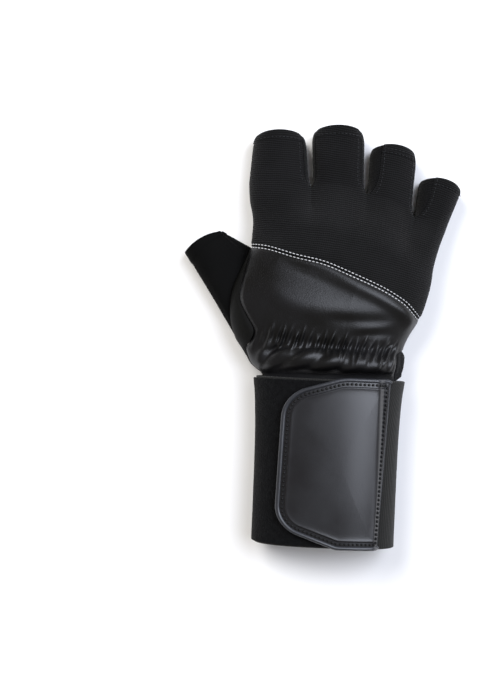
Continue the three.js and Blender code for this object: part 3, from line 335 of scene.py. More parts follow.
def sew(name, *patches):
    """One object from several grids, each a pair of points and UV, welded where they meet."""
    starts = np.cumsum([0] + [grid[..., 0].size for grid, _ in patches])
    faces = np.concatenate([
        start + grid_faces(*grid.shape[:2]) for start, (grid, _) in zip(starts, patches)
    ])
    piece = new_piece(name, np.concatenate([grid.reshape(-1, 3) for grid, _ in patches]), faces)
    uv = np.concatenate([uv.reshape(-1, 2) for _, uv in patches])
    piece.data.uv_layers.new(name="cloth").data.foreach_set("uv", uv[faces].reshape(-1))
    work = bmesh.new()
    work.from_mesh(piece.data)
    bmesh.ops.remove_doubles(work, verts=work.verts, dist=2e-6)
    work.to_mesh(piece.data)
    work.free()
    return piece


def wall(piece, thickness, edge=0.35, steps=2):
    """Gives a sheet its thickness inwards and rounds its cut edges."""
    solid = piece.modifiers.new("wall", "SOLIDIFY")
    solid.thickness = thickness * 0.001
    solid.offset = -1
    round_edge = piece.modifiers.new("edge", "BEVEL")
    round_edge.width = edge * 0.001
    round_edge.segments = steps
    round_edge.limit_method = "ANGLE"
    round_edge.angle_limit = math.radians(55)
    return piece


def finish_piece(piece, material, slot, *nodes):
    """Gives a piece its material and says what it rides on and which nodes it replaces. The slot is not used."""
    piece.data.materials.append(material)
    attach(piece, "root")
    if nodes:
        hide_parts(*nodes)


def finish_shader(tree, shader, tone, stops, colours, height, strength, depth, values):
    """Colours a shader between two colours as its tone runs between two stops, turns a height into
    bump so many millimetres deep, and sets the shader's own sockets."""
    ramp = node(tree, "ShaderNodeValToRGB", {"Fac": tone})
    for element, stop, colour in zip(ramp.color_ramp.elements, stops, colours):
        element.position = stop
        element.color = linear(colour)
    relief = {"Height": height, "Strength": strength, "Distance": depth * 0.001}
    bump = node(tree, "ShaderNodeBump", relief)
    tree.links.new(ramp.outputs["Color"], shader.inputs["Base Color"])
    tree.links.new(bump.outputs["Normal"], shader.inputs["Normal"])
    for name, value in values.items():
        shader.inputs[name].default_value = value


def yarn_rows(tree, across, pitch, crossing, crossing_pitch, share):
    """Height of a cloth's yarn: sine ribs of a pitch across one direction, and a share of others
    across the second direction."""
    waves = []
    for place, size in ((across, pitch), (crossing, crossing_pitch)):
        turn = node(tree, "ShaderNodeMath", {0: place, 1: 2 * math.pi / size}, operation="MULTIPLY")
        waves.append(node(tree, "ShaderNodeMath", {0: turn.outputs[0]}, operation="SINE").outputs[0])
    both = {0: waves[1], 1: share, 2: waves[0]}
    return node(tree, "ShaderNodeMath", both, operation="MULTIPLY_ADD").outputs[0]


# Stretch knit of textured polyester yarn, as it leaves the knitting machine: matt black, with ribs
# that wander a little and a fuzz 0.4 mm fine. The ribs' crowns are painted lighter, a painted sheen,
# and patches are painted lighter, painted highlights where the light would catch the yarn. The real
# loops are about 0.6 mm wide, which is too fine to show, so they are drawn about twice as wide.
def knit_material(name, colours, rib_pitch, loop_pitch):
    wander_size, fuzz_size, sheen_patch_size = 11.1, 0.385, 28.6
    material, tree, shader = blank_material(name)
    uv = node(tree, "ShaderNodeUVMap", uv_map="cloth").outputs["UV"]
    parts = node(tree, "ShaderNodeSeparateXYZ", {"Vector": uv})
    wander = node(tree, "ShaderNodeTexNoise", {"Vector": uv, "Scale": 1 / wander_size, "Detail": 2.0})
    moved = {0: wander.outputs["Fac"], 1: 1.6, 2: parts.outputs["Y"]}
    along = node(tree, "ShaderNodeMath", moved, operation="MULTIPLY_ADD")
    rows = yarn_rows(tree, along.outputs[0], rib_pitch, parts.outputs["X"], loop_pitch, 0.4)
    fuzz = node(tree, "ShaderNodeTexNoise", {"Vector": uv, "Scale": 1 / fuzz_size, "Detail": 3.0})
    raised = {0: fuzz.outputs["Fac"], 1: 1.1, 2: rows}
    height = node(tree, "ShaderNodeMath", raised, operation="MULTIPLY_ADD")
    # Painted highlight and painted sheen: noise patches and the ribs' crowns are painted lighter in the colour
    patches = node(tree, "ShaderNodeTexNoise", {"Vector": uv, "Scale": 1 / sheen_patch_size, "Detail": 4.0})
    painted_sheen_tone = {0: rows, 1: 0.26, 2: patches.outputs["Fac"]}
    tone = node(tree, "ShaderNodeMath", painted_sheen_tone, operation="MULTIPLY_ADD")
    finish_shader(
        tree, shader, tone.outputs[0], (0.25, 0.75), colours, height.outputs[0], 0.55, 0.35,
        {"Roughness": 0.88, "Specular IOR Level": 0.2, "Sheen Weight": 0.06, "Sheen Roughness": 0.5},
    )
    return material


back_knit = knit_material("ribbed_stretch_knit", ("#060606", "#161617"), 1.2, 1.1)

strip_columns = (46, 30, 30, 46)
body_rows = 70
finger_rows = 44
side_pull = 0.16
hem_share = 0.82
hem_height = 0.30
hem_dip = 0.25
hem_step = 0.03
hem_crease = 0.02
seam_dip = 0.55
seam_reach = 1.3


def finger_shares():
    """Rows from a finger's root to its tip, closer together at the root, where the gap is round."""
    t = np.linspace(0, 1, finger_rows)
    return 0.35 * t**2 + 0.65 * t


def root_pull(share, length):
    """How much of the way to the gap's bottom an edge is drawn: a quarter circle up from it."""
    q = np.clip(share / length, 0, 1)
    return 1 - np.sqrt(1 - (1 - q) ** 2)


def ribs_passed(points):
    """Distance across the knit's ribs: the length along the hand, plus a lean that grows steadily
    from the index finger to the little finger."""
    x = points[..., 0] + 0.4 * hand_width
    return points[..., 1] + 0.03 * x + 0.0016 * x**2


def row_lengths(points, start):
    """Distance along each row of a grid, from its own start value."""
    steps = np.linalg.norm(np.diff(points, axis=1), axis=-1)
    return np.concatenate([start, start + np.cumsum(steps, axis=1)], axis=1)


def drawn_finger(i, angle, share, sides, rise, reach):
    """Point over a finger between the angles of its two sides. At a gap its root is drawn to the gap's
    bottom, on the back where rise is 1 and on the palm where it is 0: in full at the side, and less
    and less within a share of the width."""
    angle, share = np.broadcast_arrays(np.asarray(angle, float), np.asarray(share, float))
    point = finger(i, angle, share)
    t = (angle - sides[0]) / (sides[1] - sides[0])
    for gap, side, from_side, length in zip((i, i + 1), sides, (t, 1 - t), seam_drops[i]):
        if gap in (1, 2, 3):
            shift = gap_bottom(gap, rise) - finger(i, side, 0.0)
            drawn = (1 - ease(from_side, 0, reach)) * root_pull(share, length if rise else side_pull)
            point = point + drawn[..., None] * shift
    return point


def back_finger(i, angle, share):
    """Point of the knit over a finger."""
    return drawn_finger(i, angle, share, seam_angles[i], 1, 0.30)


def back_panel_patches():
    """Knit back: on the hand, a mix of the hand's surface and the finger roots; on the fingers,
    the finger surface, with the edges of the gaps drawn down to their round bottoms."""
    borders = [180 + outer_seam]
    for gap in (1, 2, 3):
        x, y = finger_roots[gap] * (hand_width, hand_length)
        borders.append(float(hand_top_angle(x, y)))
    borders.append(-outer_seam)
    patches = []
    run = np.zeros((body_rows, 1))
    for i in range(4):
        t = np.linspace(0, 1, strip_columns[i])[None, :]
        hand_angle = mix(borders[i], borders[i + 1], t)
        finger_angle = mix(*seam_angles[i], t)
        root = back_finger(i, finger_angle, 0.0)
        seam_y = cover_seam_y(hand_angle) + seam_gap
        share = np.linspace(0, 1, body_rows)[:, None]
        y = mix(seam_y, root[..., 1], share)
        from_hand = root - hand(hand_angle, root[..., 1])
        body = hand(hand_angle, y) + ease(share, 0.4, 1)[..., None] * from_hand
        dip = seam_dip * np.exp(-((y - seam_y) / seam_reach) ** 2)
        body = body - dip[..., None] * grid_normals(body)
        f_share = finger_shares()[:, None]
        tube = back_finger(i, finger_angle, f_share)
        hem = hem_height * ease(f_share, hem_share, hem_share + hem_step)
        hem = hem - hem_dip * np.exp(-((f_share - hem_share) / hem_crease) ** 2)
        tube = tube + hem[..., None] * grid_normals(tube)
        tube[0] = body[-1]
        body_run = row_lengths(body, run)
        tube_run = row_lengths(tube, np.full((finger_rows, 1), run[-1, 0]))
        run = body_run[:, -1:]
        patches += [
            (body, np.stack([body_run, ribs_passed(body)], axis=-1)),
            (tube, np.stack([tube_run, ribs_passed(tube)], axis=-1)),
        ]
    return patches


back_panel = wall(sew("knit_back", *back_panel_patches()), knit_wall)
finish_piece(back_panel, back_knit, "knit", "back_panel")

# Side gussets: strips of plain fine knit that line the facing sides of two fingers and turn round
# the gap between them, sewn to the back along their upper edge and to the palm along the lower.
gusset_wall = 1.2
gusset_levels = 14
gusset_width = 16.0
gusset_turn = 2.0

# The same yarn knitted plain and tighter, smoother to the eye, and painted darker than the back's knit:
# painted shade for the recesses between the fingers
gusset_knit_painted_shade = knit_material("fine_plain_knit_painted_shade", ("#050505", "#0b0b0c"), 0.9, 0.9)


def gusset_grid(gap):
    """Gusset: down the side of one finger, round the gap's bottom, and up the next finger."""
    level = np.linspace(0, 1, gusset_levels)[:, None]
    share = finger_shares()[None, :]
    bottoms = np.array([gap_bottom(gap, 1 - t) for t in level[:, 0]])
    # Its first and last rows keep clear of the back and of the palm
    bottoms[0] += (0, 0.5, -0.5)
    bottoms[-1] += (0, 0.4, 0.4)
    halves = []
    for i, side, lower in ((gap - 1, 1, -gusset_seam), (gap, 0, 180 + gusset_seam)):
        turn_in = gusset_turn if side == 0 else -gusset_turn
        angle = mix(seam_angles[i, side] + turn_in, lower - turn_in, level)
        shift = bottoms[:, None, :] - finger(i, angle, 0.0)
        drawn = root_pull(share, mix(seam_drops[i, side], side_pull, level))
        halves.append(finger(i, angle, share) + drawn[..., None] * shift)
    points = np.concatenate([halves[0][:, ::-1], halves[1][:, 1:]], axis=1)
    run = row_lengths(points, np.zeros((gusset_levels, 1)))
    return points, np.stack([level * gusset_width + 0 * run, run], axis=-1)


for gap in (1, 2, 3):
    gusset = wall(sew(f"side_gusset_{gap}_knit", gusset_grid(gap)), gusset_wall)
    finish_piece(gusset, gusset_knit_painted_shade, "knit", f"side_gusset_{gap}")

# Palm: smooth leather in separate panels, butted and topstitched: one with a tongue under each
# finger, one across the knuckles, one across the palm, and one over the ball of the thumb.
leather_wall = 1.2
palm_edge = 0.8
palm_dip = 0.62
palm_dip_reach = 1.7
bay_start = 3.0
path_points = 120
palm_lines = {
    "finger": np.array([
        (finger_roots[1, 0], finger_roots[1, 1] - gap_drop / hand_length),
        (-0.085, 0.374), (0.000, 0.347), (0.142, 0.314), (0.392, 0.262), (0.560, 0.240),
    ]),
    "middle": np.array([
        (-0.480, 0.372), (-0.157, 0.207), (0.084, 0.100), (0.325, -0.020), (0.440, -0.092),
    ]),
    "heel": np.array([(-0.480, 0.010), (-0.126, -0.072), (0.079, -0.100), (0.430, -0.130)]),
}
hem_along = -0.385
ball_middle = -0.068
ball_half_length = 0.218
ball_depth = 0.345
thumb_hole_angle = 200.0
thumb_hole_spread = 25.0
thumb_hole_top = cover_seam[0, 1] * hand_length - 0.9
thumb_hole_end = -0.212 * hand_length
thumb_hole_middle = (thumb_hole_top + thumb_hole_end) / 2
thumb_hole_half = (thumb_hole_top - thumb_hole_end) / 2


def hole_spread(y):
    """Half the thumb hole's spread round the hand at a length y: half an ellipse."""
    t = (y - thumb_hole_middle) / thumb_hole_half
    return thumb_hole_spread * np.sqrt(np.maximum(0, 1 - t * t))


def under_left(y):
    """Left edge of the underside: the side seam, which passes below the thumb hole."""
    angle = np.maximum(180 + outer_seam + palm_edge, thumb_hole_angle + hole_spread(y) + 0.6)
    return hand(angle, y)[..., 0]


def under_right(y):
    """Right edge of the underside, at the side seam."""
    return hand(360 - outer_seam - palm_edge, y)[..., 0]


def ball_edge(y, inset=0.0):
    """Edge of the bay for the ball of the thumb: half an ellipse out from the left edge."""
    t = (y - ball_middle * hand_length) / (ball_half_length * hand_length - inset)
    return under_left(y) + (ball_depth * hand_width - inset) * np.sqrt(np.maximum(0, 1 - t * t))


def under(x, y):
    """Point of the hand's underside at a place x and a length y."""
    left, right, _, _ = hand_sides(y)
    side = (x - (left + right) / 2) / ((right - left) / 2)
    return hand(360 - angle_of(side, under_fullness), y)


def line_y(name, x):
    """Length of one of the palm's lines at a place x."""
    return curve(x / hand_width, palm_lines[name], 1) * hand_length


def meeting(name, edge):
    """Length at which one of the palm's lines meets an edge, closing in on it step by step."""
    y = 0.0
    for _ in range(60):
        y = mix(y, float(line_y(name, edge(y))), 0.3)
    return y


def lengths_along(path):
    """Length along a path at each of its points."""
    return np.concatenate([[0], np.cumsum(np.linalg.norm(np.diff(path, axis=0), axis=1))])


def at_lengths(values, run, at):
    """Values that go with a path's points, at other lengths along it: straight between the points."""
    return np.stack([np.interp(at, run, column) for column in values.T], axis=-1)


def shared_out(path, shares):
    """Points of a plan path at shares of its length."""
    run = lengths_along(path)
    return at_lengths(path, run, shares * run[-1])


def line_path(name, from_x, to_x, offset=0.0):
    """Plan path along one of the palm's lines between two places, moved along the hand."""
    x = np.linspace(from_x, to_x, path_points)
    return np.stack([x, line_y(name, x) + offset], axis=-1)


def edge_path(edge, from_y, to_y):
    """Plan path along an edge of the palm between two lengths."""
    y = np.linspace(from_y, to_y, path_points)
    return np.stack([edge(y), y], axis=-1)


def bay_path(from_y, to_y):
    """Plan path along the bay's edge between two lengths, evenly round its ellipse."""
    shares = (np.array([from_y, to_y]) / hand_length - ball_middle) / ball_half_length
    turns = np.linspace(*np.arcsin(np.clip(shares, -1, 1)), path_points)
    y = (ball_middle + ball_half_length * np.sin(turns)) * hand_length
    return np.stack([ball_edge(y), y], axis=-1)


def with_plan(points):
    """Grid of points and its plan as its UV."""
    return points, points[..., :2]


def palm_grid(low, high, left, right, rows, columns, bay_beside=False, starts_over=0.0):
    """Panel inside four plan paths: the mix of low and high, plus that of left and right, less that of
    the four corners. Its edges turn in, as a sewn edge does; the upper one may start to do so over
    a short way from the left."""
    u, v = np.linspace(0, 1, columns), np.linspace(0, 1, rows)
    low, high, left, right = map(shared_out, (low, high, left, right), (u, u, v, v))
    u, v = u[None, :, None], v[:, None, None]
    corners = mix(mix(low[0], low[-1], u), mix(high[0], high[-1], u), v)
    plan = mix(low[None], high[None], v) + mix(left[:, None], right[:, None], u) - corners
    points = under(plan[..., 0], plan[..., 1])
    length = np.maximum(np.linalg.norm(high - low, axis=1), 1.0)[None, :]
    turned_in = np.exp(-((1 - v[..., 0]) * length / palm_dip_reach) ** 2)
    if starts_over:
        turned_in = turned_in * ease(plan[..., 0] - left[:, None, 0], 0, starts_over)
    turned_in = np.maximum(turned_in, np.exp(-(v[..., 0] * length / palm_dip_reach) ** 2))
    if bay_beside:
        width = np.linalg.norm(plan - plan[:, :1], axis=-1)
        beside_bay = ease(left[:, None, 1], bay_bottom, bay_bottom + bay_start)
        turned_in = np.maximum(turned_in, beside_bay * np.exp(-(width / palm_dip_reach) ** 2))
    points[..., 2] += palm_dip * turned_in
    return with_plan(points[:, ::-1])


hem_y = hem_along * hand_length
bay_top = (ball_middle + ball_half_length) * hand_length
bay_bottom = (ball_middle - ball_half_length) * hand_length
bay_joint = meeting("heel", ball_edge)
bay_joint_x = float(ball_edge(bay_joint))
middle_right = meeting("middle", under_right)
heel_right = meeting("heel", under_right)


# Smooth dyed sheep leather, drummed soft: a satin black with a pebble grain of a given width, crinkles
# about 2.4 mm long, soft dents, and clouds of more and less gloss where it has been handled.
def leather_material(name, colours, roughness, grain, depth, shine):
    crinkle_size, dent_size, cloud_size = 2.38, 16.7, 28.6
    material, tree, shader = blank_material(name)
    place = node(tree, "ShaderNodeTexCoord").outputs["Object"]
    pebbles = {"Vector": place, "Scale": 1000 / grain}
    pebble = node(tree, "ShaderNodeTexVoronoi", pebbles, feature="F1")
    crinkles = {"Vector": place, "Scale": 1000 / crinkle_size, "Detail": 5.0, "Roughness": 0.6}
    crinkle = node(tree, "ShaderNodeTexNoise", crinkles)
    dent = node(tree, "ShaderNodeTexNoise", {"Vector": place, "Scale": 1000 / dent_size, "Detail": 3.0})
    fine = {0: pebble.outputs["Distance"], 1: 0.8, 2: crinkle.outputs["Fac"]}
    surface = node(tree, "ShaderNodeMath", fine, operation="MULTIPLY_ADD")
    raised = {0: dent.outputs["Fac"], 1: 1.6, 2: surface.outputs[0]}
    height = node(tree, "ShaderNodeMath", raised, operation="MULTIPLY_ADD")
    clouds = {"Vector": place, "Scale": 1000 / cloud_size, "Detail": 4.0, "Roughness": 0.55}
    cloud = node(tree, "ShaderNodeTexNoise", clouds).outputs["Fac"]
    gloss = node(tree, "ShaderNodeMapRange", {
        "Value": cloud, "From Min": 0.3, "From Max": 0.7,
        "To Min": roughness[0], "To Max": roughness[1],
    })
    tree.links.new(gloss.outputs["Result"], shader.inputs["Roughness"])
    finish_shader(
        tree, shader, cloud, (0.35, 0.7), colours, height.outputs[0], 0.5, depth,
        {"Specular IOR Level": shine},
    )
    return material


palm_leather = leather_material(
    "drummed_sheep_leather", ("#0e0e10", "#17181b"), (0.36, 0.48), grain=0.7, depth=0.10, shine=0.4
)

tongue_hem = 0.80
tongue_crease = 0.075
tongue_columns = 24
tongue_sides = np.tile((180 + gusset_seam, 360 - gusset_seam), (4, 1))
tongue_sides[0, 0] = 180 + outer_seam + palm_edge
tongue_sides[3, 1] = 360 - outer_seam - palm_edge


def palm_finger(i, angle, share):
    """Point of a leather tongue under a finger."""
    return drawn_finger(i, angle, share, tongue_sides[i], 0, 0.35)


def tongue_patches(i, line, rows):
    """Leather from a palm line to a finger's root, and the tongue under the finger. It turns in at
    the line and where the hem is stitched down."""
    angle = mix(*tongue_sides[i], np.linspace(0, 1, tongue_columns)[None, :])
    root = palm_finger(i, angle, 0.0)
    low = np.minimum(line_y(line, root[..., 0]) + seam_gap, root[..., 1] - seam_gap)
    start = under(np.clip(root[..., 0], under_left(low), under_right(low)), low)
    share = np.linspace(0, 1, rows)[:, None, None]
    body = mix(start, root, share)
    body[..., 2] += palm_dip * np.exp(-((body[..., 1] - start[..., 1]) / palm_dip_reach) ** 2)
    f_share = finger_shares()[:, None]
    tube = palm_finger(i, angle, f_share)
    tube[..., 2] += palm_dip * np.exp(-((f_share - tongue_hem) / tongue_crease) ** 2)
    tube[0] = body[-1]
    return [with_plan(body[:, ::-1]), with_plan(tube[:, ::-1])]


def palm_piece(name, node_name, patches, tongues):
    """Leather palm piece. The turned-over hems of its tongues are of the gusset's knit: tongues
    counts the finger tubes among the patches, which come second of each pair."""
    piece = wall(sew(name, *patches), leather_wall)
    finish_piece(piece, palm_leather, "leather", node_name)
    piece.data.materials.append(gusset_knit_painted_shade)
    band_from = int(np.searchsorted(finger_shares(), tongue_hem)) + 1
    hems = []
    for k, (grid, _) in enumerate(patches):
        rows, columns = grid.shape[:2]
        first_row = band_from if k < 2 * tongues and k % 2 == 1 else rows
        hems.append(np.repeat(np.arange(rows - 1) >= first_row, columns - 1))
    piece.data.polygons.foreach_set("material_index", np.concatenate(hems).astype(np.int32))


finger_palm = sum((tongue_patches(i, "finger", 24) for i in (1, 2, 3)), [])
palm_piece("finger_palm_leather", "finger_palm", finger_palm, 3)

# Palm pad: one piece of the palm's smooth leather, under the index finger and across the knuckles.
# It is cut with its tongue and topstitched to the pieces above and below it.
pad_rows = 46
pad_start = 5.0
gap_x = finger_roots[1, 0] * hand_width
middle_right_x = float(under_right(middle_right))
finger_right = meeting("finger", under_right)
pad_low = line_path("middle", gap_x, middle_right_x, seam_gap)
pad_high = line_path("finger", gap_x, float(under_right(finger_right)))
pad_left = np.array([pad_low[0], pad_high[0]])
pad_right = edge_path(under_right, middle_right + seam_gap, finger_right)
pad_grid = palm_grid(pad_low, pad_high, pad_left, pad_right, pad_rows, 64, starts_over=pad_start)
palm_piece("palm_pad_leather", "palm_pad", tongue_patches(0, "middle", pad_rows) + [pad_grid], 1)

# Palm band: smooth leather across the middle of the palm, cut out in a round bay for the ball of the
# thumb and topstitched along the knuckles and the heel.
middle_left = meeting("middle", under_left)
heel_right_x = float(under_right(heel_right))
band_low = line_path("heel", bay_joint_x, heel_right_x, seam_gap)
band_low = np.vstack([bay_path(bay_top, bay_joint + seam_gap), band_low[1:]])
band_high = line_path("middle", float(under_left(middle_left)), middle_right_x)
band_left = edge_path(under_left, bay_top, middle_left)
band_right = edge_path(under_right, heel_right + seam_gap, middle_right)
band_grid = palm_grid(band_low, band_high, band_left, band_right, 56, 110)
palm_piece("palm_band_leather", "palm_band", [band_grid], 0)

# Heel of the palm: brushed matt leather, softer and duller than the rest of the palm. It runs from
# the heel line down into the wrist wrap, round the lower half of the bay.
heel_low = np.array([(float(under_left(hem_y)), hem_y), (float(under_right(hem_y)), hem_y)])
heel_high = line_path("heel", bay_joint_x, heel_right_x)
heel_left = np.vstack([edge_path(under_left, hem_y, bay_bottom), bay_path(bay_bottom, bay_joint)[1:]])
heel_right_edge = edge_path(under_right, hem_y, heel_right)
heel_grid = palm_grid(heel_low, heel_high, heel_left, heel_right_edge, 80, 70, bay_beside=True)

# The palm's leather brushed to a short nap, which takes its shine away
heel_suede = leather_material(
    "brushed_matt_leather", ("#070707", "#0d0d0d"), (0.82, 0.92), grain=0.45, depth=0.16, shine=0.15
)
heel = wall(sew("heel_suede", heel_grid), leather_wall)
finish_piece(heel, heel_suede, "matt_leather", "heel_panel")

# Ball of the thumb: a leaf of the palm's smooth leather, set into the bay. Its round edge is
# topstitched to the band above the heel line and plainly seamed to the heel below it.
ball_rows = 90
ball_columns = 30
ball_inset = 0.7
ball_reach = 0.985
ball_turn = np.linspace(-ball_reach, ball_reach, ball_rows)[:, None] * math.pi / 2
ball_y = ball_middle * hand_length + (ball_half_length * hand_length - ball_inset) * np.sin(ball_turn)
ball_y = np.broadcast_to(ball_y, (ball_rows, ball_columns))
ball_rim = ball_edge(ball_y, ball_inset)
ball_x = mix(under_left(ball_y), ball_rim, np.linspace(0, 1, ball_columns)[None, :])
ball_points = under(ball_x, ball_y)
at_heel = np.exp(-((ball_y - line_y("heel", ball_x)) / palm_dip_reach) ** 2)
at_bay = np.exp(-((ball_rim - ball_x) / palm_dip_reach) ** 2) * ease(ball_y, bay_joint - 2, bay_joint + 1)
ball_points[..., 2] += palm_dip * np.maximum(at_heel, at_bay)
ball = wall(sew("thumb_ball_leather", with_plan(ball_points[:, ::-1])), leather_wall)
finish_piece(ball, palm_leather, "leather", "thumb_ball")

# Thumb stall: an open tube of matt brushed fabric, sewn into the thumb hole. Its end is turned in
# and hemmed, and one raised seam runs along it.
thumb_wall = 1.3
thumb_height = 18.5
thumb_rise = 0.6
thumb_hem = 0.86
thumb_hem_height = 0.3
thumb_hem_dip = 0.2
thumb_seam = 38.0
thumb_seam_height = 0.55
thumb_seam_dip = 0.35
thumb_swell = 1.5
thumb_crown = np.array([-0.45, 0.9]) * tip_crown
thumb_tip = np.array([(-0.613, 0.236), (-0.814, 0.153)]) * (hand_width, hand_length)

# Brushed polyester cloth, dull black with a nap like suede's
thumb_suede = leather_material(
    "brushed_thumb_fabric", ("#060606", "#0b0b0b"), (0.85, 0.95), grain=0.5, depth=0.14, shine=0.12
)


def thumb(turn, share):
    """Point of the thumb stall: a straight mix from the hole's rim to the tip's ring, swollen in
    its middle, with the tip edge crowned."""
    turn, share = np.broadcast_arrays(np.asarray(turn, float), np.asarray(share, float))
    c, s = np.cos(np.radians(turn)), np.sin(np.radians(turn))
    rim_y = thumb_hole_middle + (thumb_hole_half - 0.2) * c
    rim = hand(thumb_hole_angle - (thumb_hole_spread - 0.3) * s, rim_y)
    side, z = section(turn, thumb_rise, thumb_height)
    t = ((1 - side) / 2)[..., None]
    tip = np.concatenate([mix(thumb_tip[0], thumb_tip[1], t), z[..., None]], axis=-1)
    point = mix(rim, tip, share[..., None])
    crown = ease(share, 0.6, 1) * (1 - side * side)
    point[..., :2] += crown[..., None] * thumb_crown
    point[..., 2] += thumb_swell * np.sin(math.pi * share) * s
    point[..., 2] = np.maximum(point[..., 2], thumb_rise * share)
    return point


thumb_rings = 60
thumb_sides = 96
share = np.linspace(0, 1, thumb_rings)[:, None]
turns = np.linspace(0, 360, thumb_sides, endpoint=False)[None, ::-1]
stall_points = thumb(turns, share)
hem = thumb_hem_height * ease(share, thumb_hem, thumb_hem + hem_step)
hem = hem - thumb_hem_dip * np.exp(-((share - thumb_hem) / hem_crease) ** 2)
seam = thumb_seam_height * np.exp(-((turns - thumb_seam) / 5) ** 2)
seam = seam - thumb_seam_dip * np.exp(-((turns - thumb_seam + 11) / 4) ** 2)
relief = hem + seam * ease(share, 0.05, 0.15)
stall_points = stall_points + relief[..., None] * grid_normals(stall_points)
stall_faces = grid_faces(thumb_rings, thumb_sides, ring=True)
stall = new_piece("thumb_stall_fabric", stall_points.reshape(-1, 3), stall_faces)
wall(stall, thumb_wall)
finish_piece(stall, thumb_suede, "matt_leather", "thumb_stall")

# Thumb strip: a narrow piece of plain leather, duller than the cover. It is sewn between the thumb
# stall and the cover's left edge, where it sinks into the seam.
cover_edge = np.array([
    (-0.400, 172), (-0.300, 176), (-0.240, 166), (-0.207, 146), (-0.165, 137), (-0.108, 142),
    (-0.040, 152), (0.020, 156), (0.088, 165), (0.170, 177),
])
edge_dip = 0.8
edge_reach = 1.5
strip_y = np.linspace(hem_y, thumb_hole_top - 0.8, 120)[:, None]
strip_upper = curve(strip_y / hand_length, cover_edge, 1) + 1.0
hole_low = thumb_hole_middle - thumb_hole_half
strip_rim = thumb_hole_angle - hole_spread(strip_y) - 0.4
strip_lower = mix(180 + outer_seam, strip_rim, ease(strip_y, hole_low - 4, hole_low - 0.5))
strip_lower = np.maximum(strip_lower, strip_upper + 3)
strip_angle = mix(strip_upper, strip_lower, np.linspace(0, 1, 24)[None, :])
strip_points = hand(strip_angle, strip_y)[:, ::-1]
from_edge = np.linalg.norm(strip_points - strip_points[:, -1:], axis=-1)
strip_dip = edge_dip * np.exp(-(from_edge / edge_reach) ** 2)
strip_points = strip_points - strip_dip[..., None] * grid_normals(strip_points)
strip = wall(sew("thumb_strip_leather", with_plan(strip_points)), leather_wall)

# The same kind of leather left without its finish, so nearly matt
strip_leather = leather_material(
    "plain_strip_leather", ("#090908", "#0f0f0e"), (0.65, 0.75), grain=0.7, depth=0.12, shine=0.2
)
finish_piece(strip, strip_leather, "leather", "thumb_strip")

# Leather cover: one panel of smooth leather over the back of the hand. Elastic sewn inside it
# gathers it in a row of short puckers, and below them it puffs out in soft diagonal folds.
gather_line = np.array([
    (-0.450, -0.188), (-0.312, -0.190), (-0.105, -0.215), (0.080, -0.236), (0.330, -0.262),
])
gather_pitch = 3.6
gather_height = 1.8
gather_leans = (0.30, 0.50)
reach_up = 5.0
reaches_down = (4.4, 6.6)
crest_lean = 0.35
crest_roundness = 0.7
trench_depth = 0.9
trench_reach = (4.5, 3.0)
puff_height = 1.8
puff_drop = 9.5
puff_reach = 5.0
seam_ridge = 4.8
seam_ridge_reach = 3.2

# What makes each pucker a little different: height, pace per millimetre and start of each wave
phase_waves = ((0.9, 0.21, 0.0), (0.5, 0.57, 0.0))
reach_up_waves = ((1.3, 1.13, 2.0),)
reach_down_waves = ((1.2, 0.91, 0.0),)
height_waves = ((0.2, 0.77, 1.0),)

# Folds: start, middle and end (across as a share of hand_width, along of hand_length), width and
# height in millimetres, creases with a negative height
cover_folds = np.array([
    (-0.330, 0.110, -0.160, 0.050, 0.060, -0.020, 6.0, -1.3),
    (-0.380, 0.060, -0.210, -0.066, 0.300, -0.092, 6.0, 1.3),
    (-0.090, -0.112, 0.100, -0.128, 0.280, -0.124, 3.2, -0.8),
    (0.020, -0.140, 0.160, -0.152, 0.300, -0.138, 3.8, 0.8),
    (0.040, -0.196, 0.150, -0.176, 0.260, -0.178, 2.4, -0.5),
    (0.115, -0.228, 0.199, -0.206, 0.300, -0.204, 3.0, 0.6),
    (-0.309, -0.205, -0.398, -0.236, -0.430, -0.303, 2.1, 1.0),
    (-0.272, -0.218, -0.367, -0.247, -0.409, -0.315, 1.4, -1.1),
    (-0.230, -0.232, -0.314, -0.255, -0.388, -0.323, 2.1, 1.0),
    (-0.180, -0.240, -0.262, -0.272, -0.345, -0.325, 1.6, -1.0),
    (-0.094, -0.240, -0.178, -0.262, -0.293, -0.312, 3.2, 1.7),
    (-0.052, -0.250, -0.126, -0.280, -0.215, -0.323, 1.8, -0.8),
    (0.021, -0.255, -0.052, -0.278, -0.168, -0.314, 3.2, 1.8),
    (0.060, -0.270, 0.000, -0.300, -0.090, -0.327, 1.8, -0.8),
    (0.120, -0.268, 0.070, -0.290, -0.030, -0.316, 3.0, 1.8),
    (0.220, -0.275, 0.180, -0.293, 0.090, -0.314, 2.6, 1.5),
    (0.320, -0.265, 0.290, -0.292, 0.305, -0.320, 2.0, 1.2),
])
fold_steps = 16

# Points of the cover's grid, and which share of its rows lies below the elastic's line
cover_rows = 144
cover_columns = 276
cover_side_columns = 16
knee = 0.42

# Angle of the cover's right edge, above the binding and beside it, and where the binding starts
cover_right = -30.0
cover_right_upper = 20.0
binding_start = -0.234
binding_blend = 0.024


def gather_y(x):
    """Length of the elastic's line at a place x."""
    return curve(x / hand_width, gather_line, 1) * hand_length


